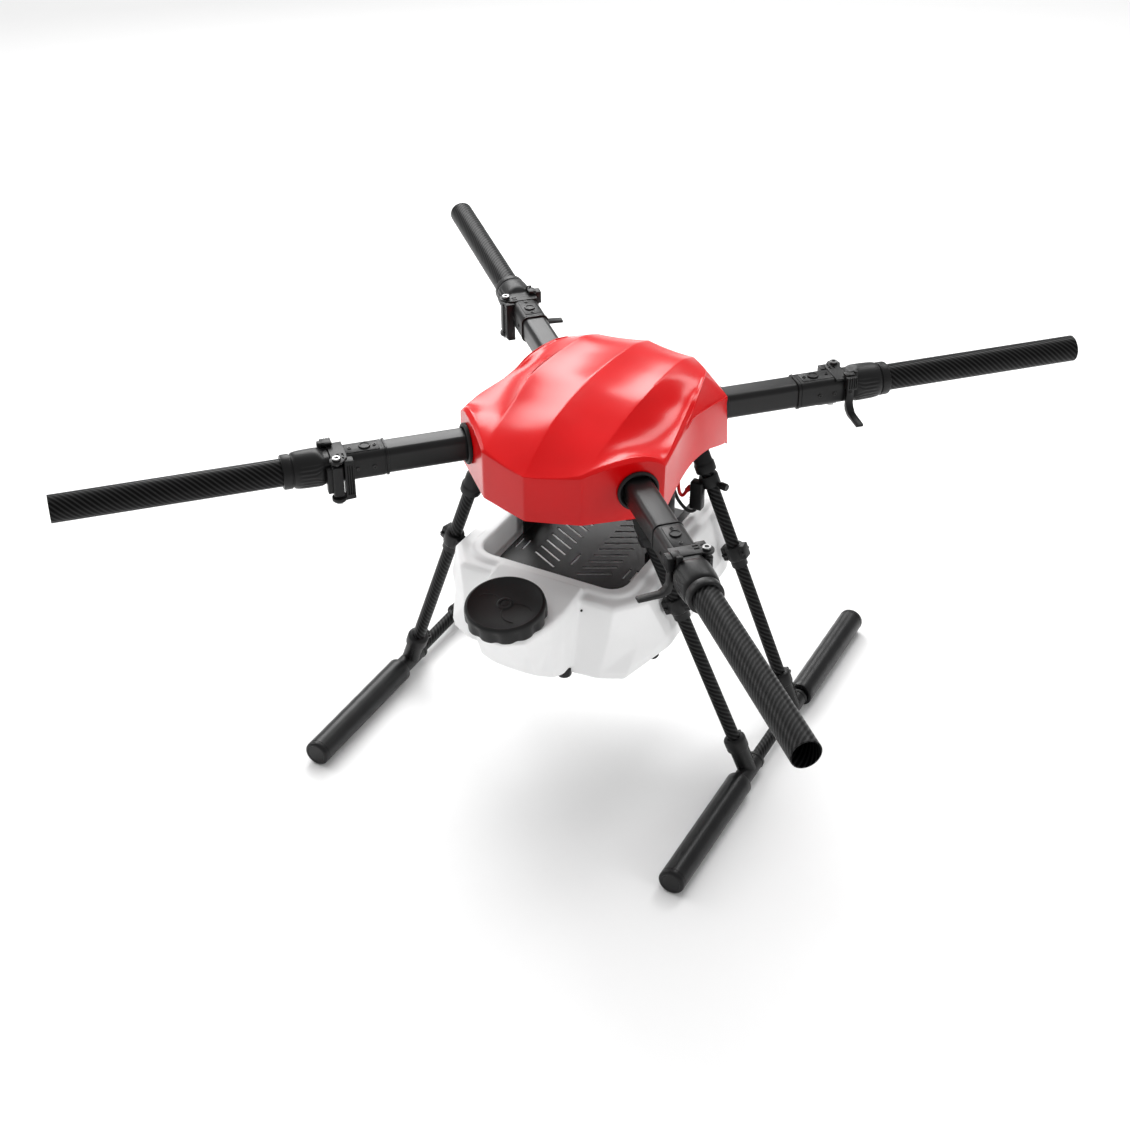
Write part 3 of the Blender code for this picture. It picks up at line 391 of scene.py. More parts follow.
def make_camera():
    azimuth, elevation, roll = math.radians(28.03), math.radians(34.49), math.radians(-0.18)
    forward = Vector((
        -math.sin(azimuth) * math.cos(elevation), math.cos(azimuth) * math.cos(elevation), -math.sin(elevation),
    ))
    right = forward.cross(Vector((0, 0, 1))).normalized()
    up = right.cross(forward)
    tilted_right = right * math.cos(roll) + up * math.sin(roll)
    tilted_up = up * math.cos(roll) - right * math.sin(roll)
    matrix = Matrix((tilted_right, tilted_up, -forward)).transposed().to_4x4()
    matrix.translation = Vector((1.0823, -2.1285, 1.8999))
    camera = bpy.data.objects.new("camera", bpy.data.cameras.new("camera"))
    camera.data.sensor_width = 36
    camera.data.lens = 59.82
    camera.data.clip_start = 0.05
    camera.matrix_world = matrix
    scene.collection.objects.link(camera)
    scene.camera = camera


def place_light(light, location, target, glossy):
    """Aims a light at a target; glossy says whether it shows in reflections."""
    lamp = bpy.data.objects.new(light.name, light)
    lamp.location = location
    lamp.rotation_euler = (Vector(target) - Vector(location)).to_track_quat("-Z", "Y").to_euler()
    lamp.visible_glossy = glossy
    scene.collection.objects.link(lamp)


def area_light(name, location, target, size, power, glossy=True):
    light = bpy.data.lights.new(name, "AREA")
    light.shape = "RECTANGLE"
    light.size, light.size_y = size
    light.energy = power
    place_light(light, location, target, glossy)


def make_stage():
    world = bpy.data.worlds.new("studio")
    world.use_nodes = True
    world.node_tree.nodes["Background"].inputs["Color"].default_value = (1, 1, 1, 1)
    world.node_tree.nodes["Background"].inputs["Strength"].default_value = 0.45
    scene.world = world
    scene.view_settings.view_transform = "Standard"
    sun = bpy.data.lights.new("overhead_diffuser", "SUN")
    sun.energy = 1.75
    sun.angle = math.radians(60)
    place_light(sun, (-0.36, 0.40, 1), (0, 0, 0), False)
    area_light("rear_softbox", (-1.6, 1.9, 2.0), (0, 0, 0.5), (1.7, 1.3), 52)
    area_light("rear_strip", (0.25, 2.3, 2.6), (0, 0, 0.5), (0.8, 1.2), 22)
    area_light("left_softbox", (-2.6, -0.2, 1.7), (0, 0, 0.5), (0.9, 1.3), 18)
    area_light("front_right_fill", (3.0, -0.9, 1.0), (0, 0, 0.3), (1.2, 1.2), 20, glossy=False)
    shape = bmesh.new()
    bmesh.ops.create_grid(shape, x_segments=4, y_segments=4, size=30)
    mesh = mesh_from(shape)
    floor = bpy.data.objects.new("floor", mesh)
    scene.collection.objects.link(floor)
    mesh.materials.append(surface("floor_paper", (0.90, 0.90, 0.90), (0.905, 0.905, 0.905), 0.9, 200.0, 0.02))


# ---- Arms ----

def beam_mesh():
    wall = 0.002
    return loft([
        ring(0.072, BEAM_HALF, BEAM_CORNER), ring(0.3735, BEAM_HALF, BEAM_CORNER),
        ring(0.3735, BEAM_HALF - wall, BEAM_CORNER - wall), ring(0.072, BEAM_HALF - wall, BEAM_CORNER - wall),
    ], closed=True)


def hinge_rod(radius, low, high):
    return rod(radius, HINGE + Vector((0, 0, low)), HINGE + Vector((0, 0, high)))


def lug_outline(start, inner_side):
    """The plate across the joint: from the sleeve to a round lug at the hinge."""
    points = [(start, inner_side), (JOINT_FACE - 0.0003, inner_side), (JOINT_FACE - 0.0003, 0.0190)]
    for step in range(13):
        angle = math.radians(-52 + step * 17)
        points.append((HINGE.x + LUG_RADIUS * math.cos(angle), HINGE.y + LUG_RADIUS * math.sin(angle)))
    return points + [(start, 0.0300 if inner_side > 0 else 0.0222)]


def fold_base_mesh():
    steps = [
        (0.3130, -0.0006), (0.3134, 0.0009), (0.3162, 0.0009), (0.3166, -0.0007), (0.3184, -0.0007),
        (0.3190, 0.0), (JOINT_FACE - 0.0005, 0.0), (JOINT_FACE, -0.0005),
    ]
    sleeve = loft([ring(r, SLEEVE_HALF + d, SLEEVE_CORNER + d) for r, d in steps])
    bore_half = BEAM_HALF + 0.0003
    bore = loft([ring(0.300, bore_half, BEAM_CORNER), ring(0.3738, bore_half, BEAM_CORNER)])
    block = box((0.3655, 0.0185, LUG_BOTTOM + 0.003), (0.3790, 0.0325, LUG_TOP - 0.002), 0.0008)
    slots = [box((r, 0.0292, -0.0345), (r + 0.0018, 0.036, 0.0140)) for r in (0.3680, 0.3712, 0.3744)]
    top = prism(lug_outline(0.3730, -0.0222), LUG_TOP - 0.0032, LUG_TOP + 0.0002, edge=0.0005)
    top_slots = [box((r, 0.0110, LUG_TOP - 0.0012), (r + 0.0030, 0.0190, 0.030)) for r in (0.3765, 0.3830)]
    top_slots.append(box((0.3775, 0.0215, LUG_TOP - 0.0012), (0.3800, 0.0300, 0.030)))
    foot = prism(lug_outline(0.3650, 0.0185), LUG_BOTTOM, LUG_BOTTOM + 0.0060, edge=0.0010)
    side_gap = box((0.3838, -0.030, -0.0165), (0.3882, -0.0195, 0.0165))
    return carved(
        sleeve, add=[block, top, foot],
        cut=[
            bore, rod(0.013, (0.37, 0, 0), (0.40, 0, 0)), hinge_rod(0.0112, -0.0369, 0.0188),
            hinge_rod(0.0040, -0.05, 0.03), side_gap, *slots, *top_slots,
        ],
    )


def base_trim_mesh():
    """The moulded panel on the sleeve's top, with its round boss."""
    low = SLEEVE_HALF - 0.0006
    outline = [(0.3235, -0.0125), (0.3720, -0.0125), (0.3720, 0.0125), (0.3235, 0.0125)]
    panel = prism(outline, low, SLEEVE_HALF + 0.0007, edge=0.0004)
    boss = stack(
        [(0.0086, 0), (0.0086, 0.0018), (0.0080, 0.0026), (0.0066, 0.0026), (0.0060, 0.0016)],
        (0.3435, 0, low + 0.001), (0.3435, 0, 1),
    )
    return joined(panel, boss)


def base_screws_mesh():
    heads = [screw_head((r, 0, SLEEVE_HALF + 0.0006), (0, 0, 1)) for r in (0.3290, 0.3655)]
    for side in (-1, 1):
        for r in (0.348, 0.372) if side < 0 else (0.3345, 0.3585):
            heads.append(screw_head((r, side * SLEEVE_HALF, -0.001), (0, side, 0), 0.0030))
    return joined(*heads)


def hinge_screw_mesh():
    low, high = LUG_TOP + 0.0003, LUG_TOP + 0.0044
    head = loft([
        circle(0.0060, low), circle(0.0062, low + 0.0004), circle(0.0062, high - 0.0008), circle(0.0054, high),
        hexagon(0.0034, high), hexagon(0.0032, high - 0.0022),
    ])
    nut = loft([hexagon(0.0064, LUG_BOTTOM - 0.0042), hexagon(0.0066, LUG_BOTTOM - 0.0034), hexagon(0.0066, LUG_BOTTOM)])
    shank = turned([(0.0036, LUG_BOTTOM - 0.001), (0.0036, low + 0.001)], 24)
    return moved(joined(head, nut, shank), Matrix.Translation(HINGE))


def socket_mesh():
    stations = [
        (0.3963, 0.0205, 0.0100, 0), (0.3968, 0.0213, 0.0104, 0), (0.4025, 0.0213, 0.0104, 0),
        (0.4042, 0.0220, 0.0125, 0), (0.4068, 0.0240, 0.0170, 0.0004), (0.4100, 0.0260, 0.0215, 0.0010),
        (0.4140, 0.0273, 0.0255, 0.0011), (0.4190, 0.0279, 0.0279, 0.0011), (0.4300, 0.0277, 0.0277, 0.0011),
        (0.4370, 0.0274, 0.0274, 0.0010), (0.4405, 0.0271, 0.0271, 0.0003), (0.4430, 0.0268, 0.0268, 0),
        (0.4465, 0.0261, 0.0261, 0), (0.4485, 0.0250, 0.0250, 0), (0.4492, 0.0237, 0.0237, 0),
        (0.4506, 0.0236, 0.0236, 0), (0.4512, 0.0249, 0.0249, 0), (0.4520, 0.0252, 0.0252, 0),
        (0.4618, 0.0252, 0.0252, 0), (0.4634, 0.0246, 0.0246, 0), (0.4640, 0.0236, 0.0236, 0),
        (0.4640, 0.0203, 0.0203, 0), (0.4123, 0.0203, 0.0203, 0), (0.4123, 0.0130, 0.0130, 0),
        (0.3963, 0.0130, 0.0130, 0),
    ]
    shell = loft([ring(r, half, corner, 36, flute) for r, half, corner, flute in stations], closed=True)
    knuckle_half = 0.0076
    knuckle = []
    for z, inset in ((-0.0340, 0.0010), (-0.0330, 0), (0.0125, 0), (0.0135, 0.0010)):
        section = ring(z, knuckle_half - inset, 0.0028, 6)
        knuckle.append([(HINGE.x + a, HINGE.y + b, z) for z, a, b in section])
    web = box((HINGE.x + 0.004, 0.0180, -0.0300), (0.4040, 0.0300, 0.0100), 0.0012)
    bracket = box((0.4035, -0.0210, 0.0100), (0.4085, -0.0120, 0.0300), 0.0012)
    return joined(shell, loft(knuckle), web, bracket)


def lever_mesh():
    """The latch's lever: a ribbed flange beside the joint, a strap down its side and a finger tab."""
    flange = box((0.3868, -0.0322, 0.0060), (0.4028, -0.0225, 0.0262), 0.0008)
    slots = [box((r, -0.036, 0.0090), (r + 0.0016, -0.0305, 0.0300)) for r in (0.3895, 0.3932, 0.3969, 0.4000)]
    flange = carved(flange, cut=slots)
    head = box((0.3872, -0.0240, 0.0235), (0.4028, -0.0120, 0.0285), 0.0015)
    strap_outline = [
        (-0.0225, 0.0100), (-0.0225, -0.0235), (-0.0250, -0.0300), (-0.0350, -0.0352), (-0.0690, -0.0368),
        (-0.0702, -0.0352), (-0.0696, -0.0322), (-0.0390, -0.0296), (-0.0325, -0.0240), (-0.0290, -0.0180),
        (-0.0285, 0.0080), (-0.0300, 0.0100),
    ]
    strap = prism(strap_outline, 0.3885, 0.4002, "yzx", edge=0.0008)
    pin = rod(0.0023, (0.398, -0.015, 0.027), (0.4092, -0.015, 0.027), 24, 0.0005)
    screw = screw_head((0.3945, -0.0283, 0.0020), (0, -1, 0), 0.0026)
    return joined(flange, head, strap, pin, screw)


def tube_mesh():
    inner = TUBE_RADIUS - TUBE_WALL
    edge = 0.0003
    stations = [
        (TUBE_START, TUBE_RADIUS), (TUBE_TIP - edge, TUBE_RADIUS), (TUBE_TIP, TUBE_RADIUS - edge),
        (TUBE_TIP, inner), (TUBE_START, inner),
    ]
    return loft([ring(r, radius, radius, 18) for r, radius in stations], closed=True)


def grommet_mesh(end):
    """The lining of the cover's opening: a round collar in front, a slim square sleeve at the rear."""
    hole = (BEAM_HALF + 0.0004, BEAM_CORNER)
    if end == "front":
        steps = [
            (-0.0050, 0.0266, 0.0266), (0.0004, 0.0266, 0.0266), (0.0004, 0.0303, 0.0303), (0.0030, 0.0305, 0.0305),
            (0.0048, 0.0298, 0.0298), (0.0056, 0.0284, 0.0284), (0.0052, 0.0266, 0.0266), (0.0034, 0.0256, 0.0256),
            (0.0010, 0.0246, 0.0246), (-0.0010, *hole), (-0.0050, *hole),
        ]
    else:
        sleeve = (REAR_OPENING - 0.0003, BEAM_CORNER + 0.001)
        steps = [(-0.0070, *sleeve), (-0.0012, *sleeve), (-0.0005, *hole), (-0.0070, *hole)]
    return loft([ring(EXITS[end] + d, half, corner) for d, half, corner in steps], closed=True)


def build_arms(looks):
    shared = {
        "inner_beam": (beam_mesh(), "satin_plastic", ["inner_tube"], "black_plastic"),
        "fold_base_casting": (fold_base_mesh(), "black_plastic", ["fold_base"], "black_plastic"),
        "fold_base_panel": (base_trim_mesh(), "black_plastic", [], "black_plastic"),
        "fold_base_screws": (base_screws_mesh(), "dark_steel", [], "steel"),
        "hinge_screw": (hinge_screw_mesh(), "steel", ["hinge_bolt"], "steel"),
    }
    outer = {
        "socket_casting": (socket_mesh(), "black_plastic", ["fold_socket"], "black_plastic"),
        "carbon_tube": (tube_mesh(), "carbon", ["arm_tube"], "carbon"),
    }
    lever = lever_mesh()
    for corner, angle in ARM_ANGLES.items():
        place = Matrix.Translation((0, 0, ARM_HEIGHT)) @ Matrix.Rotation(math.radians(angle), 4, "Z")
        for pieces, body in ((shared, "airframe"), (outer, f"{corner}_outer_arm")):
            for name, (mesh, look, nodes, slot) in pieces.items():
                nodes = [f"{corner}_{n}" for n in nodes]
                edge = 0.0004 if "casting" in name and body == "airframe" else 0
                add(f"{corner}_{name}", mesh, looks[look], body, nodes, slot, place, edge)
        nodes = [f"{corner}_latch_lever"]
        add(f"{corner}_latch_handle", lever, looks["black_plastic"], f"{corner}_latch", nodes, None, place)
        ring_mesh = grommet_mesh(corner.split("_")[0])
        nodes = [f"{corner}_cover_grommet"]
        add(f"{corner}_grommet_ring", ring_mesh, looks["rubber"], "airframe", nodes, None, place, sharp=50)


# ---- Landing gear ----

def leg_point(end, height, side=1):
    foot, head = LEG_FEET[end], LEG_HEADS[end]
    point = foot.lerp(head, (height - foot.z) / (head.z - foot.z))
    return Vector((side * point.x, point.y, point.z))


def foam_mesh(y_end, y_inner):
    """A foam sleeve with a cap at its outer end."""
    length = abs(y_end - y_inner)
    profile = [(0.0104, 0.0012), (0.0120, 0), (0.0180, 0), (0.0194, 0.0006), (0.0200, 0.0022)]
    for step in range(1, 24):
        distance = 0.0022 + (length - 0.0142) * step / 23
        profile.append((FOAM_RADIUS - 0.00012 * (1 - math.cos(step * 1.7)), distance))
    profile += [
        (0.0200, length - 0.0100), (0.0195, length - 0.0096), (0.0195, length - 0.0090), (0.0200, length - 0.0086),
        (0.0200, length - 0.0046), (0.0196, length - 0.0024), (0.0186, length - 0.0009), (0.0170, length),
        (0.0150, length), (0.0144, length - 0.0006), (0.0004, length - 0.0006),
    ]
    return stack(profile, (SKID_ASIDE, y_inner, FOAM_RADIUS), (SKID_ASIDE, y_end, FOAM_RADIUS), 56)


def pipe_mesh(start, end, radius=LEG_RADIUS, wall=0.0012, hand=-1):
    length = (end - start).length
    rings = [circle(r, z) for r, z in ((radius, 0), (radius, length), (radius - wall, length), (radius - wall, 0))]
    return moved(loft(rings, closed=True, hand=hand), along(start, end))


def tee_mesh(end):
    foot = LEG_FEET[end]
    run = stack([
        (0.0126, 0), (0.0146, 0.0010), (0.0148, 0.0060), (0.0138, 0.0068), (0.0138, 0.0552), (0.0148, 0.0560),
        (0.0146, 0.0610), (0.0126, 0.0620),
    ], foot - Vector((0, 0.031, 0)), foot)
    base, top = leg_point(end, 0.022), leg_point(end, 0.084)
    neck = stack([
        (0.0140, 0), (0.0140, 0.0420), (0.0150, 0.0430), (0.0168, 0.0440), (0.0170, 0.0455), (0.0170, 0.0600),
        (0.0162, 0.0625), (0.0140, 0.0640), (0.0108, 0.0645),
    ], base, top)
    frame_matrix = along(base, top)
    ears = moved(box((-0.0240, -0.0060, 0.0455), (-0.0120, 0.0060, 0.0590), 0.0012), frame_matrix)
    bolt = moved(rod(0.0030, (-0.0205, -0.0085, 0.0520), (-0.0205, 0.0085, 0.0520), 20, 0.0006), frame_matrix)
    ribs = [
        moved(box((-0.0012, 0.0120, 0.012), (0.0012, 0.0156, 0.0430), 0.0005), frame_matrix @ Matrix.Rotation(a, 4, "Z"))
        for a in (0.6, 2.5, 4.2)
    ]
    return joined(run, neck, ears, bolt, *ribs)


def leg_sleeve_mesh(end):
    height = SLEEVE_HEIGHTS[end]
    low, high = leg_point(end, height - 0.020), leg_point(end, height + 0.014)
    frame_matrix = along(low, high)
    length = (high - low).length
    shell = stack([
        (0.0112, 0), (0.0126, 0.0008), (0.0126, 0.0120), (0.0138, 0.0130), (0.0146, 0.0150), (0.0146, length - 0.002),
        (0.0138, length - 0.0006), (0.0112, length),
    ], low, high)
    ears = moved(box((-0.0090, -0.0200, 0.0135), (0.0090, 0.0200, length - 0.0010), 0.0022), frame_matrix)
    bolts = [
        moved(rod(0.0028, (-0.0118, y, 0.024), (0.0118, y, 0.024), 20, 0.0006), frame_matrix) for y in (-0.0162, 0.0162)
    ]
    return joined(shell, ears, *bolts)


def leg_root_mesh(end):
    top = PLATE_BOTTOM - 0.0003
    half = 0.0145
    head = LEG_HEADS[end]
    middle = head - Vector((0.007, math.copysign(0.007, head.y), 0))
    flange = box((middle.x - half, middle.y - half, top - 0.012), (middle.x + half, middle.y + half, top), 0.003, 3)
    low = leg_point(end, 0.416)
    length = (leg_point(end, 0.474) - low).length
    neck = stack([
        (0.0112, 0), (0.0158, 0.0008), (0.0160, 0.0130), (0.0150, 0.0146), (0.0142, 0.0160), (0.0142, 0.0330),
        (0.0124, 0.0360), (0.0116, length),
    ], low, head)
    return joined(flange, neck)


def add_pair(name, mesh, finish, node_name, slot=None, **options):
    right = add(f"right_{name}", mesh, finish, "airframe", [f"right_{node_name}"] if node_name else [], slot, **options)
    nodes = [f"left_{node_name}"] if node_name else []
    return right, add(f"left_{name}", mirrored(mesh), finish, "airframe", nodes, slot, **options)


def build_landing_gear(looks):
    for end, (outer, inner) in FOAM_ENDS.items():
        for piece in add_pair(f"skid_{end}_grip", foam_mesh(outer, inner), looks["foam"], f"skid_foam_{end}"):
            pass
        add_pair(f"leg_{end}_tee", tee_mesh(end), looks["black_plastic"], f"leg_tee_{end}")
        add_pair(f"leg_{end}_sleeve", leg_sleeve_mesh(end), looks["black_plastic"], f"leg_sleeve_{end}")
        add_pair(f"leg_{end}_root", leg_root_mesh(end), looks["black_plastic"], f"leg_root_{end}")
        for side, name in ((1, "right"), (-1, "left")):
            tube = pipe_mesh(leg_point(end, 0.036, side), leg_point(end, 0.467, side))
            add(f"{name}_leg_{end}_carbon", tube, looks["carbon"], "airframe", [f"{name}_leg_tube_{end}"])
    for side, name in ((1, "right"), (-1, "left")):
        start, end = Vector((side * SKID_ASIDE, -0.340, FOAM_RADIUS)), Vector((side * SKID_ASIDE, 0.363, FOAM_RADIUS))
        add(f"{name}_skid_carbon", pipe_mesh(start, end), looks["carbon"], "airframe", [f"{name}_skid_tube"])


# ---- Tray ----

def outline_of(half):
    """A closed outline from its +X half, listed from front to rear."""
    return half + [(-x, y) for x, y in reversed(half)]


def slot_cutter(x_start, y_start, x_end, y_end, width):
    """A slot from one point to another, as a bar through the tray's floor."""
    start, end = Vector((x_start, y_start, 0)), Vector((x_end, y_end, 0))
    direction = (end - start).normalized()
    side = Vector((-direction.y, direction.x, 0)) * width / 2
    corners = [start - side, end - side, end + side, start + side]
    return prism([(p.x, p.y) for p in corners], TRAY_BOTTOM - 0.01, TRAY_TOP + 0.01)


def tray_mesh():
    near = TRAY_HALF_WIDTH - 0.024
    front, rear = -0.144, 0.138
    half = [(near, front)]
    for step in range(1, 9):
        angle = math.radians(90 * step / 8)
        half.append((near + 0.024 * math.sin(angle), front + 0.024 * (1 - math.cos(angle))))
    half.append((TRAY_HALF_WIDTH, rear))
    floor = prism(outline_of(half), TRAY_BOTTOM, TRAY_TOP)
    slope, pitch, width = 0.53, 0.01824, 0.0042
    cutters = [slot_cutter(0, -0.077, 0, -0.045, 0.004)]
    for row in range(12):
        y = -0.094 + row * pitch
        for side in (-1, 1):
            cutters.append(slot_cutter(side * 0.019, y, side * 0.065, y + slope * 0.046, width))
    for side in (-1, 1):
        for x in (0.085, 0.097):
            cutters.append(slot_cutter(side * x, -0.074, side * x, -0.046, 0.0035))
    floor = carved(floor, cut=[joined(*cutters)])
    walls = []
    hanger_top = PLATE_BOTTOM - 0.0003
    for side in (-1, 1):
        low, high = sorted((side * TRAY_HALF_WIDTH, side * (TRAY_HALF_WIDTH - 0.003)))
        walls.append(box((low, -0.035, TRAY_BOTTOM + 0.001), (high, rear - 0.001, TRAY_BOTTOM + 0.030), 0.0008))
        for y in (-0.016, 0.052):
            walls.append(box((low, y - 0.010, TRAY_BOTTOM + 0.020), (high, y + 0.010, hanger_top), 0.0008))
    return joined(floor, *walls)


# ---- Tank ----

def mouth_frame():
    return Matrix.Translation(MOUTH) @ Matrix.Rotation(MOUTH_TILT, 4, "X")


def bay_outline(spread, rear):
    """The outline of the tank's battery bay, spread outwards, open to the rear."""
    half, front, corner = 0.118 + spread, -0.150 - spread, 0.026 + spread / 2
    outline = [(half - corner, front)]
    for step in range(1, 9):
        angle = math.radians(90 * step / 8)
        outline.append((half - corner + corner * math.sin(angle), front + corner * (1 - math.cos(angle))))
    return outline_of(outline + [(half, rear)])


def tank_mesh():
    levels = [
        (0.2130, [(0.060, -0.205), (0.108, -0.200), (0.142, -0.184), (0.166, -0.080), (0.160, 0.132), (0.145, 0.150)]),
        (0.2250, [(0.064, -0.202), (0.112, -0.198), (0.148, -0.180), (0.173, -0.085), (0.165, 0.138), (0.148, 0.156)]),
        (0.2650, [(0.066, -0.196), (0.118, -0.193), (0.154, -0.160), (0.182, -0.122), (0.170, 0.144), (0.150, 0.160)]),
        (0.2850, [(0.066, -0.193), (0.121, -0.190), (0.153, -0.158), (0.175, -0.128), (0.160, 0.144), (0.149, 0.156)]),
        (0.3310, [(0.068, -0.189), (0.127, -0.187), (0.140, -0.172), (0.160, -0.144), (0.150, 0.140), (0.138, 0.152)]),
        (TANK_TOP - 0.0055, [
            (0.066, -0.184), (0.124, -0.182), (0.136, -0.168), (0.154, -0.141), (0.145, 0.136), (0.133, 0.148),
        ]),
    ]
    body = loft([[(x, y, z) for x, y in outline_of(half)] for z, half in levels])
    shelf = math.tan(MOUTH_TILT)
    bow_levels = [
        (0.2220, 0, [(0.064, -0.170), (0.064, -0.222), (0.056, -0.236), (0.034, -0.243), (0.012, -0.245)]),
        (0.2300, 0, [(0.068, -0.170), (0.068, -0.226), (0.061, -0.243), (0.036, -0.252), (0.013, -0.254)]),
        (0.3000, 0, [(0.070, -0.170), (0.070, -0.228), (0.064, -0.256), (0.043, -0.288), (0.015, -0.300)]),
        (MOUTH.z - 0.0115, shelf, [
            (0.071, -0.170), (0.071, -0.228), (0.065, -0.260), (0.046, -0.300), (0.016, -0.316),
        ]),
        (MOUTH.z - 0.0035, shelf, [
            (0.068, -0.170), (0.068, -0.226), (0.062, -0.258), (0.043, -0.296), (0.015, -0.311),
        ]),
    ]
    bow = loft([
        [(x, y, z + slope * (y - MOUTH.y)) for x, y in outline_of(half[::-1])] for z, slope, half in bow_levels
    ])
    bay = prism(bay_outline(0, 0.3), BAY_FLOOR, 0.5)
    rim = prism(bay_outline(0.016, 0.140), TANK_TOP - 0.016, TANK_TOP)
    neck = moved(turned([(NECK_RADIUS, -0.012), (NECK_RADIUS, 0.0185)]), mouth_frame())
    mouth = moved(turned([(0.0385, -0.010), (0.0385, 0.040)]), mouth_frame())
    outside = carved(body, add=[bow, rim, neck], cut=[bay, mouth])
    return evaluated(outside, [
        ("REMESH", {"mode": "VOXEL", "voxel_size": 0.0025}),
        ("SMOOTH", {"factor": 0.5, "iterations": 5}),
    ])


def lid_ring(radius, height, depth, sides=144):
    points = []
    for i in range(sides):
        angle = 2 * math.pi * i / sides
        lobe = (0.5 - 0.5 * math.cos(LID_LOBES * angle)) ** 2
        reach = radius - depth * lobe
        points.append((reach * math.cos(angle), reach * math.sin(angle), height))
    return points


def lid_mesh():
    inner = 0.0481
    rings = [
        lid_ring(0.0020, 0.0228, 0), lid_ring(inner, 0.0228, 0), lid_ring(inner, 0.0010, 0),
        lid_ring(LID_RADIUS - 0.0014, 0.0010, 0.0030), lid_ring(LID_RADIUS - 0.0003, 0.0022, 0.0034),
        lid_ring(LID_RADIUS, 0.0050, 0.0034), lid_ring(LID_RADIUS, 0.0150, 0.0032),
        lid_ring(LID_RADIUS - 0.0002, 0.0190, 0.0018), lid_ring(LID_RADIUS - 0.0006, 0.0220, 0.0006),
        lid_ring(LID_RADIUS - 0.0014, 0.0248, 0), lid_ring(LID_RADIUS - 0.0030, 0.0264, 0),
        lid_ring(LID_RADIUS - 0.0048, LID_HEIGHT, 0), lid_ring(LID_RADIUS - 0.0066, 0.0266, 0),
        lid_ring(LID_RADIUS - 0.0078, 0.0256, 0), lid_ring(0.0140, 0.0254, 0),
    ]
    return loft(rings)


def lid_relief_mesh():
    """The hub ring and the three curved ribs moulded on the lid's top."""
    top = 0.0253
    hub = turned([
        (0.0072, top), (0.0078, top + 0.0012), (0.0100, top + 0.0016), (0.0116, top + 0.0010), (0.0122, top),
    ], 64, closed=True)
    cap = turned([(0.0050, top), (0.0046, top + 0.0008), (0.0010, top + 0.0010)], 48)
    ribs = []
    for start, bend in ((math.radians(-78), 0.55), (math.radians(22), -0.35), (math.radians(150), 0.5)):
        rings = []
        for step in range(13):
            t = step / 12
            reach = 0.0118 + 0.030 * t
            angle = start + bend * t * t
            centre = Vector((reach * math.cos(angle), reach * math.sin(angle), top))
            side = Vector((-math.sin(angle), math.cos(angle), 0))
            half, tall = 0.0011, 0.0009
            rings.append([
                centre - side * half, centre - side * half * 0.6 + Vector((0, 0, tall)),
                centre + side * half * 0.6 + Vector((0, 0, tall)), centre + side * half,
            ])
        ribs.append(loft(rings))
    return joined(hub, cap, *ribs)


def build_tank(looks):
    add("tank_shell", tank_mesh(), looks["tank_white"], "airframe", ["tank"], sharp=180)
    lid_place = mouth_frame()
    add("tank_cap", lid_mesh(), looks["black_plastic"], "lid", ["tank_lid"], None, lid_place, sharp=60)
    add("tank_cap_relief", lid_relief_mesh(), looks["black_plastic"], "lid", [], None, lid_place, sharp=50)
    seal = turned([(0.0419, 0.0188), (0.0419, 0.0225), (0.0352, 0.0225), (0.0352, 0.0188)], closed=True)
    add("tank_cap_gasket", seal, looks["rubber"], "lid", ["lid_seal"], "rubber", lid_place)
    threads = [turned([
        (NECK_RADIUS - 0.0010, z), (NECK_RADIUS + 0.0008, z + 0.0012), (NECK_RADIUS - 0.0010, z + 0.0024),
        (NECK_RADIUS - 0.0016, z + 0.0012),
    ], closed=True) for z in (0.004, 0.0085, 0.013)]
    feet = [
        stack([(0.0110, 0), (0.0110, 0.013), (0.0095, 0.015)], (side * x, y, z), (side * x, y, 0), 32)
        for side in (-1, 1) for x, y, z in ((0.056, -0.204, 0.222), (0.148, -0.100, 0.219))
    ]
    add("tank_feet", joined(*feet), looks["rubber"], "airframe")
    screws = [rod(0.0017, (side * 0.0771, -0.180, 0.3205), (side * 0.0771, -0.1915, 0.3205), 20) for side in (-1, 1)]
    add("tank_front_screws", joined(*screws), looks["dark_steel"], "airframe", [], "steel")
    add("tank_neck_thread", joined(*threads), looks["tank_white"], "airframe", [], None, lid_place)


# ---- Top cover ----

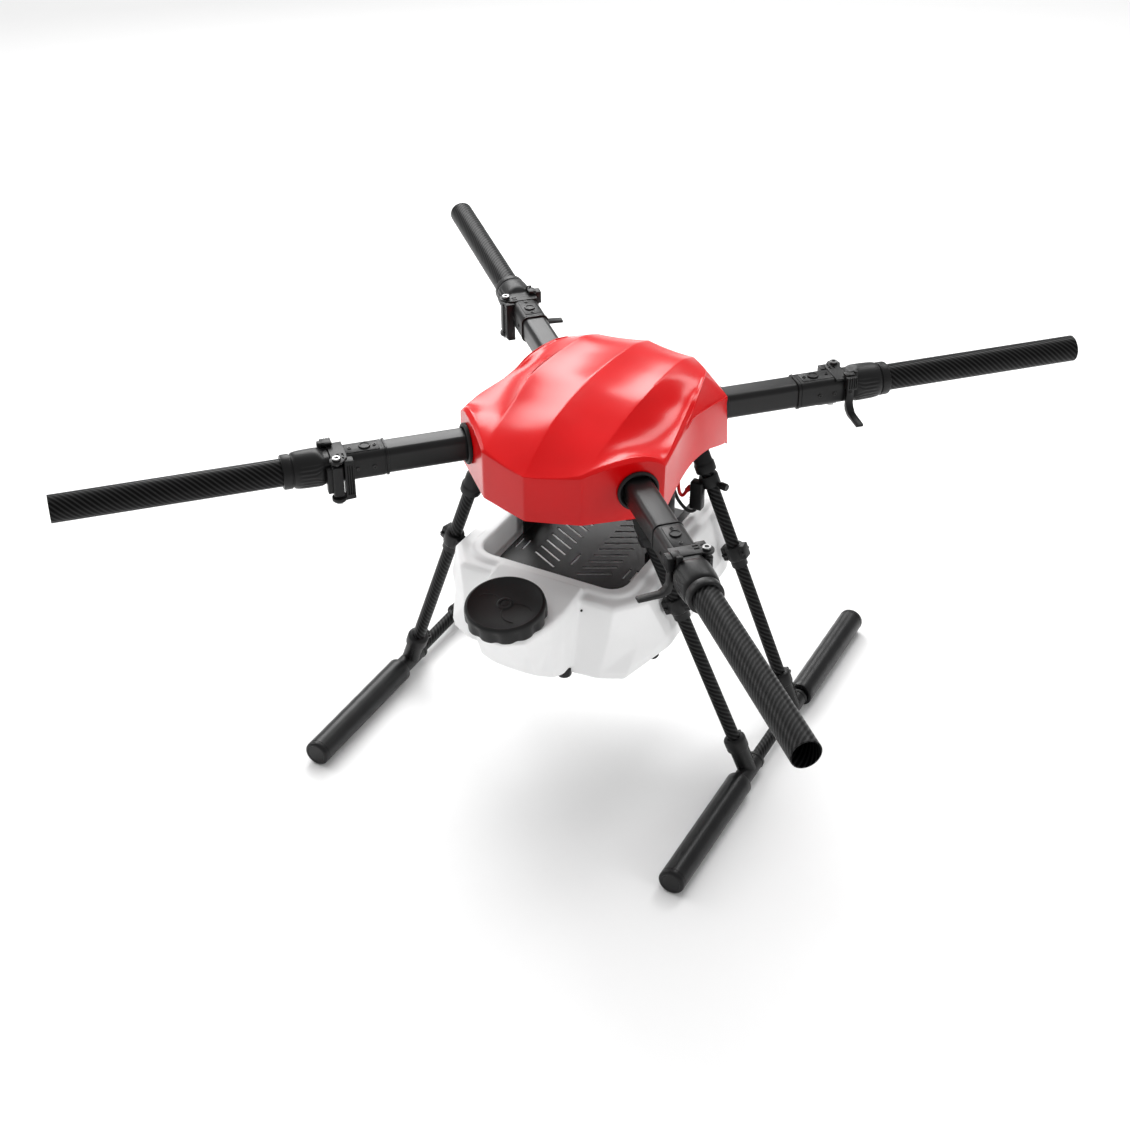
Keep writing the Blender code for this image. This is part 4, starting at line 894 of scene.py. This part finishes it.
def cover_lines():
    """The cover's right half: lines over its top from nose to tail, and lines round its wall from nose to tail."""
    centre = [
        (0, -0.2110, 0.5400), (0, -0.1650, 0.5680), (0, -0.1300, 0.5815), (0, -0.0950, 0.5885), (0, -0.0600, 0.5935),
        (0, -0.0200, 0.5965), (0, 0.0250, 0.5945), (0, 0.0750, 0.5900), (0, 0.1300, 0.5815), (0, 0.1780, 0.5660),
    ]
    crest = [
        (0.0765, -0.1905, 0.5480), (0.0808, -0.1500, 0.5600), (0.0823, -0.1200, 0.5675), (0.0839, -0.0900, 0.5749),
        (0.0860, -0.0580, 0.5829), (0.0880, -0.0220, 0.5890), (0.0862, 0.0200, 0.5890), (0.0843, 0.0650, 0.5863),
        (0.0825, 0.1200, 0.5800), (0.0800, 0.1660, 0.5630),
    ]
    hollow = [
        (0.1310, -0.1310, 0.5620), (0.1270, -0.1120, 0.5570), (0.1230, -0.0850, 0.5560), (0.1200, -0.0550, 0.5590),
        (0.1175, -0.0200, 0.5635), (0.1140, 0.0150, 0.5665), (0.1120, 0.0500, 0.5715), (0.1096, 0.0850, 0.5745),
        (0.1043, 0.1200, 0.5715), (0.0990, 0.1500, 0.5640),
    ]
    side_crest = [
        (0.1625, -0.1080, 0.5465), (0.1600, -0.0950, 0.5500), (0.1558, -0.0700, 0.5542), (0.1502, -0.0420, 0.5560),
        (0.1441, -0.0120, 0.5575), (0.1384, 0.0180, 0.5605), (0.1342, 0.0450, 0.5659), (0.1285, 0.0750, 0.5683),
        (0.1213, 0.1080, 0.5690), (0.1153, 0.1330, 0.5650),
    ]
    panel = [
        tuple((a + b) / 2 for a, b in zip(start, end)) for start, end in zip(centre, crest)
    ]
    sags = (0.0035, 0.0030, 0.0035, 0.0040, 0.0040, 0.0040, 0.0040, 0.0035, 0.0020, 0.0)
    panel = [(x, y - 0.004, z - sag) for (x, y, z), sag in zip(panel, sags)]
    wall_top = [
        (0, -0.2165, 0.5375), (0.0400, -0.2055, 0.5395), (0.0785, -0.1945, 0.5445), (0.1360, -0.1360, 0.5575),
        (0.1645, -0.1085, 0.5425), (0.1628, -0.0920, 0.5453), (0.1597, -0.0660, 0.5490), (0.1549, -0.0380, 0.5485),
        (0.1505, -0.0080, 0.5465), (0.1475, 0.0220, 0.5486), (0.1490, 0.0500, 0.5460), (0.1508, 0.0780, 0.5419),
        (0.1530, 0.1080, 0.5367), (0.1545, 0.1260, 0.5345), (0.1400, 0.1430, 0.5330), (0.0920, 0.1900, 0.5320),
        (0.0460, 0.1970, 0.5340), (0, 0.2000, 0.5360),
    ]
    bottom = [
        (0, -0.2160, 0.4640), (0.0400, -0.2050, 0.4655), (0.0785, -0.1935, 0.4670), (0.1360, -0.1360, 0.4630),
        (0.1635, -0.1090, 0.4620), (0.1630, -0.0950, 0.4680), (0.1620, -0.0700, 0.4780), (0.1610, -0.0400, 0.4870),
        (0.1600, -0.0080, 0.4910), (0.1600, 0.0220, 0.4890), (0.1600, 0.0520, 0.4830), (0.1600, 0.0820, 0.4720),
        (0.1590, 0.1080, 0.4620), (0.1580, 0.1260, 0.4560), (0.1440, 0.1440, 0.4460), (0.0950, 0.1930, 0.4500),
        (0.0480, 0.1990, 0.4510), (0, 0.2040, 0.4520),
    ]
    flank = [
        (0.1614, -0.0930, 0.5476), (0.1580, -0.0680, 0.5518), (0.1530, -0.0400, 0.5528), (0.1485, -0.0090, 0.5520),
        (0.1443, 0.0200, 0.5550), (0.1397, 0.0470, 0.5640), (0.1330, 0.0760, 0.5684), (0.1248, 0.1080, 0.5686),
    ]
    rim = [line[0] for line in (centre, panel, crest, hollow, side_crest)] + side_crest[1:-1]
    rim += [line[-1] for line in (side_crest, hollow, crest, panel, centre)]
    edge = [tuple((a + b) / 2 for a, b in zip(high, low)) for high, low in zip(rim, wall_top)]
    edge[5:13] = flank
    return [centre, panel, crest, hollow, side_crest], [edge, wall_top, bottom]


def on_line(points, t):
    """A point on a smooth curve through the given ones, with t counted in their intervals."""
    spans = len(points) - 1
    span = min(int(t), spans - 1)
    t -= span
    points = [Vector(p) for p in points]
    before = points[span - 1] if span else 2 * points[0] - points[1]
    after = points[span + 2] if span + 2 <= spans else 2 * points[-1] - points[-2]
    a, b, c, d = before, points[span], points[span + 1], after
    return 0.5 * (2 * b + (c - a) * t + (2 * a - 5 * b + 4 * c - d) * t * t + (3 * b - a - 3 * c + d) * t ** 3)


def on_arc(start, middle, end, t):
    """A point on the parabola through three points."""
    return start * ((1 - t) * (1 - 2 * t)) + middle * (4 * t * (1 - t)) + end * (t * (2 * t - 1))


# Shares of the way between two crests, or down the wall: close together next to an edge, so that it stays crisp.
CREST_SHARES = (0, 0.025, 0.07, 0.15, 0.28, 0.44, 0.60, 0.74, 0.86, 0.94, 0.98)
EDGE_SHARES = (0.1, 0.3, 0.55, 0.8, 1)
WALL_SHARES = (0.03, 0.10, 0.26, 0.5, 0.74, 0.9, 1)
STATION_STEPS = 7


def across(anchors):
    """Points over five anchors, in two arcs that meet in a crest at the third."""
    a = [Vector(p) for p in anchors]
    arcs = [on_arc(*a[k : k + 3], share) for k in (0, 2) for share in CREST_SHARES]
    return arcs + [a[4]]


def cover_mesh():
    """The cover's skin, finely divided between its lines with crisp crests, then softened and cut."""
    top_lines, wall_lines = cover_lines()
    spans = len(top_lines[0]) - 1
    stations = [k / STATION_STEPS for k in range(spans * STATION_STEPS + 1)]
    shape = bmesh.new()
    for side in (1, -1):
        grid = []
        for t in stations:
            points = across([on_line(line, t) for line in top_lines])
            grid.append([shape.verts.new((side * p.x, p.y, p.z)) for p in points])
        walls = [grid[0] + [row[-1] for row in grid[1:-1]] + grid[-1][::-1]]
        above = [Vector((side * v.co.x, v.co.y, v.co.z)) for v in walls[0]]
        for line, shares in zip(wall_lines, (EDGE_SHARES, EDGE_SHARES, WALL_SHARES)):
            below = across(line[:5])
            below += [on_line(line[4 : 5 + spans], t) for t in stations[1:-1]]
            below += across(line[: 3 + spans : -1])[::-1]
            for share in shares:
                points = [a.lerp(b, share) for a, b in zip(above, below)]
                walls.append([shape.verts.new((side * p.x, p.y, p.z)) for p in points])
            above = below
        for first, second in [*zip(grid, grid[1:]), *zip(walls, walls[1:])]:
            for i in range(len(first) - 1):
                shape.faces.new((first[i], first[i + 1], second[i + 1], second[i]))
    bmesh.ops.remove_doubles(shape, verts=shape.verts, dist=1e-6)
    bmesh.ops.recalc_face_normals(shape, faces=shape.faces)
    top = max(shape.faces, key=lambda face: face.calc_center_median().z)
    if top.normal.z < 0:
        bmesh.ops.reverse_faces(shape, faces=shape.faces)
    skin = bpy.data.meshes.new("skin")
    shape.to_mesh(skin)
    shape.free()
    shell = evaluated(skin, [
        ("SMOOTH", {"factor": 0.5, "iterations": 2}),
        ("SOLIDIFY", {"thickness": 0.0012, "offset": -1}),
    ])
    slit = [(-0.0893, -0.032), (-0.0870, -0.032), (-0.0842, 0.060), (-0.0850, 0.061)]
    holes = [prism(slit, 0.57, 0.62)]
    for corner, angle in ARM_ANGLES.items():
        end = corner.split("_")[0]
        start, stop = EXITS[end] - 0.03, EXITS[end] + 0.03
        if end == "front":
            hole = rod(0.0270, (start, 0, 0), (stop, 0, 0), 48)
        else:
            hole = loft([ring(r, REAR_OPENING, BEAM_CORNER + 0.001) for r in (start, stop)])
        holes.append(moved(hole, Matrix.Translation((0, 0, ARM_HEIGHT)) @ Matrix.Rotation(math.radians(angle), 4, "Z")))
    return carved(shell, cut=holes)


def cover_beads_mesh():
    """Fine raised lines on the cover's flanks, where a pointed panel is marked out towards the rear."""
    top_lines, wall_lines = cover_lines()
    edge, wall_top, _ = wall_lines
    beads = []
    for line, radius in ((edge[8:13] + [top_lines[4][-1]], 0.0011), (wall_top[8:14], 0.0012)):
        spans = len(line) - 1
        steps = 6 * spans
        points = [on_line(line, k * spans / steps) for k in range(steps + 1)]
        rings = []
        for k, point in enumerate(points):
            heading = (points[min(k + 1, steps)] - points[max(k - 1, 0)]).normalized()
            turn = Vector((0, 0, 1)).rotation_difference(heading).to_matrix()
            taper = 1 if 0 < k < steps else 0.4
            rings.append([point + turn @ Vector(p) for p in circle(radius * taper, 0, 10)])
        bead = loft(rings)
        beads += [bead, mirrored(bead)]
    return joined(*beads)


# ---- Plug and leads ----

def plug_mesh():
    low, high = leg_point("rear", 0.393), leg_point("rear", 0.411)
    clamp = stack([
        (0.0112, 0), (0.0148, 0.0008), (0.0150, 0.0030), (0.0150, 0.0170), (0.0142, 0.0188), (0.0112, 0.0192),
    ], low, high)
    block = box((0.1205, 0.0790, 0.3545), (0.1400, 0.0940, 0.4020), 0.002, 3)
    ribs = [box((0.1198, 0.0800, z), (0.1300, 0.0930, z + 0.0016), 0.0005) for z in (0.360, 0.364, 0.368, 0.372)]
    knob = stack([
        (0.0040, 0), (0.0040, 0.008), (0.0056, 0.009), (0.0060, 0.011), (0.0060, 0.019), (0.0052, 0.021),
    ], (0.1550, 0.0980, 0.3990), (0.1760, 0.0930, 0.3990), 24)
    return joined(clamp, block, knob, *ribs)


def lead(name, points, finish, node_name):
    curve = bpy.data.curves.new(name, "CURVE")
    curve.dimensions = "3D"
    curve.bevel_depth = 0.0027
    curve.bevel_resolution = 5
    curve.use_fill_caps = True
    spline = curve.splines.new("NURBS")
    spline.points.add(len(points) - 1)
    for target, point in zip(spline.points, points):
        target.co = (*point, 1)
    spline.use_endpoint_u = True
    spline.order_u = 3
    spline.resolution_u = 10
    curve.materials.append(finish)
    piece = bpy.data.objects.new(name, curve)
    scene.collection.objects.link(piece)
    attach(piece, "airframe")
    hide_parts(node_name)


def build_leads(looks):
    add("plug_clamp", plug_mesh(), looks["black_plastic"], "airframe", ["plug_holder"])
    sheath = rod(0.0040, (0.1215, 0.0865, 0.3900), (0.1120, 0.0865, 0.3800), 24, 0.0008)
    add("plug_red_shell", sheath, looks["red_rubber"], "airframe", [], "red_rubber")
    top = ARM_HEIGHT + 0.026 - 0.0003
    lead("red_power_lead", [
        (0.1194, 0.0865, 0.3900), (0.1158, 0.0865, 0.3897), (0.1100, 0.0860, 0.3735), (0.1050, 0.0850, 0.3690),
        (0.1010, 0.0840, 0.3760), (0.1005, 0.0810, 0.3950), (0.1040, 0.0740, 0.4300),
        (0.112, 0.061, PLATE_BOTTOM - 0.002), (0.112, 0.061, PLATE_BOTTOM + 0.010), (0.112, 0.061, top),
    ], looks["red_rubber"], "power_lead_red")
    lead("black_power_lead", [
        (0.1290, 0.0865, 0.3535), (0.1283, 0.0860, 0.3490), (0.1200, 0.0800, 0.3480), (0.1076, 0.0760, 0.3610),
        (0.1005, 0.0730, 0.3760), (0.0965, 0.0680, 0.4000), (0.0960, 0.0560, 0.4400),
        (0.098, 0.047, PLATE_BOTTOM - 0.002), (0.098, 0.047, PLATE_BOTTOM + 0.010), (0.098, 0.047, top),
    ], looks["rubber"], "power_lead_black")


def refinish(node_name, finish):
    """Gives a CAD node that stays in view a detailed material."""
    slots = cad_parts[node_name].data.materials
    for i in range(len(slots)):
        slots[i] = finish


def main():
    make_camera()
    make_stage()
    looks = {
        "carbon": twill("carbon", (0.001, 0.001, 0.001), (0.020, 0.020, 0.0205)),
        "black_plastic": surface("black_plastic", (0.005, 0.005, 0.0052), (0.008, 0.008, 0.0083), 0.42, 1400.0, 0.25),
        "satin_plastic": surface("satin_plastic", (0.006, 0.006, 0.0062), (0.009, 0.009, 0.0093), 0.34, 1800.0, 0.10),
        "rubber": surface("rubber", (0.010, 0.010, 0.010), (0.016, 0.016, 0.016), 0.55, 900.0, 0.2),
        "foam": surface("foam", (0.004, 0.004, 0.0045), (0.008, 0.008, 0.0085), 0.34, 700.0, 0.18),
        "steel": surface("steel", (0.30, 0.30, 0.30), (0.42, 0.42, 0.42), 0.30, 600.0, 0.1, metallic=1.0),
        "dark_steel": surface("dark_steel", (0.03, 0.03, 0.03), (0.06, 0.06, 0.06), 0.35, 600.0, 0.1, metallic=0.8),
        "red_gloss": surface("red_gloss", (0.60, 0.001, 0.002), (0.66, 0.001, 0.003), 0.26, 500.0, 0.012, 0.03, coat=0.25, shine=0.15),
        "tank_white": surface("tank_white", (0.88, 0.88, 0.88), (0.91, 0.91, 0.91), 0.40, 420.0, 0.10),
        "board": surface("board", (0.015, 0.06, 0.03), (0.03, 0.10, 0.05), 0.45, 300.0, 0.15),
        "red_rubber": surface("red_rubber", (0.62, 0.006, 0.008), (0.74, 0.012, 0.014), 0.42, 700.0, 0.15),
    }
    build_arms(looks)
    build_landing_gear(looks)
    add("battery_tray_plate", tray_mesh(), looks["black_plastic"], "airframe", ["battery_tray"])
    # Painted light: a white sheet set just under the tray's slots so that they read pale, as the lit tank showing
    # through them, where the open slots would render dark.
    slot_light_sheet = box((-0.101, -0.128, TRAY_BOTTOM - 0.0036), (0.101, 0.136, TRAY_TOP - 0.0016), 0.001)
    add("tray_slot_light_sheet", slot_light_sheet, looks["tank_white"], "airframe")
    build_tank(looks)
    add("cover_shell", cover_mesh(), looks["red_gloss"], "airframe", ["top_cover"], sharp=35)
    add("cover_beads", cover_beads_mesh(), looks["red_gloss"], "airframe")
    build_leads(looks)
    refinish("center_frame", looks["black_plastic"])
    refinish("power_board", looks["board"])


main()
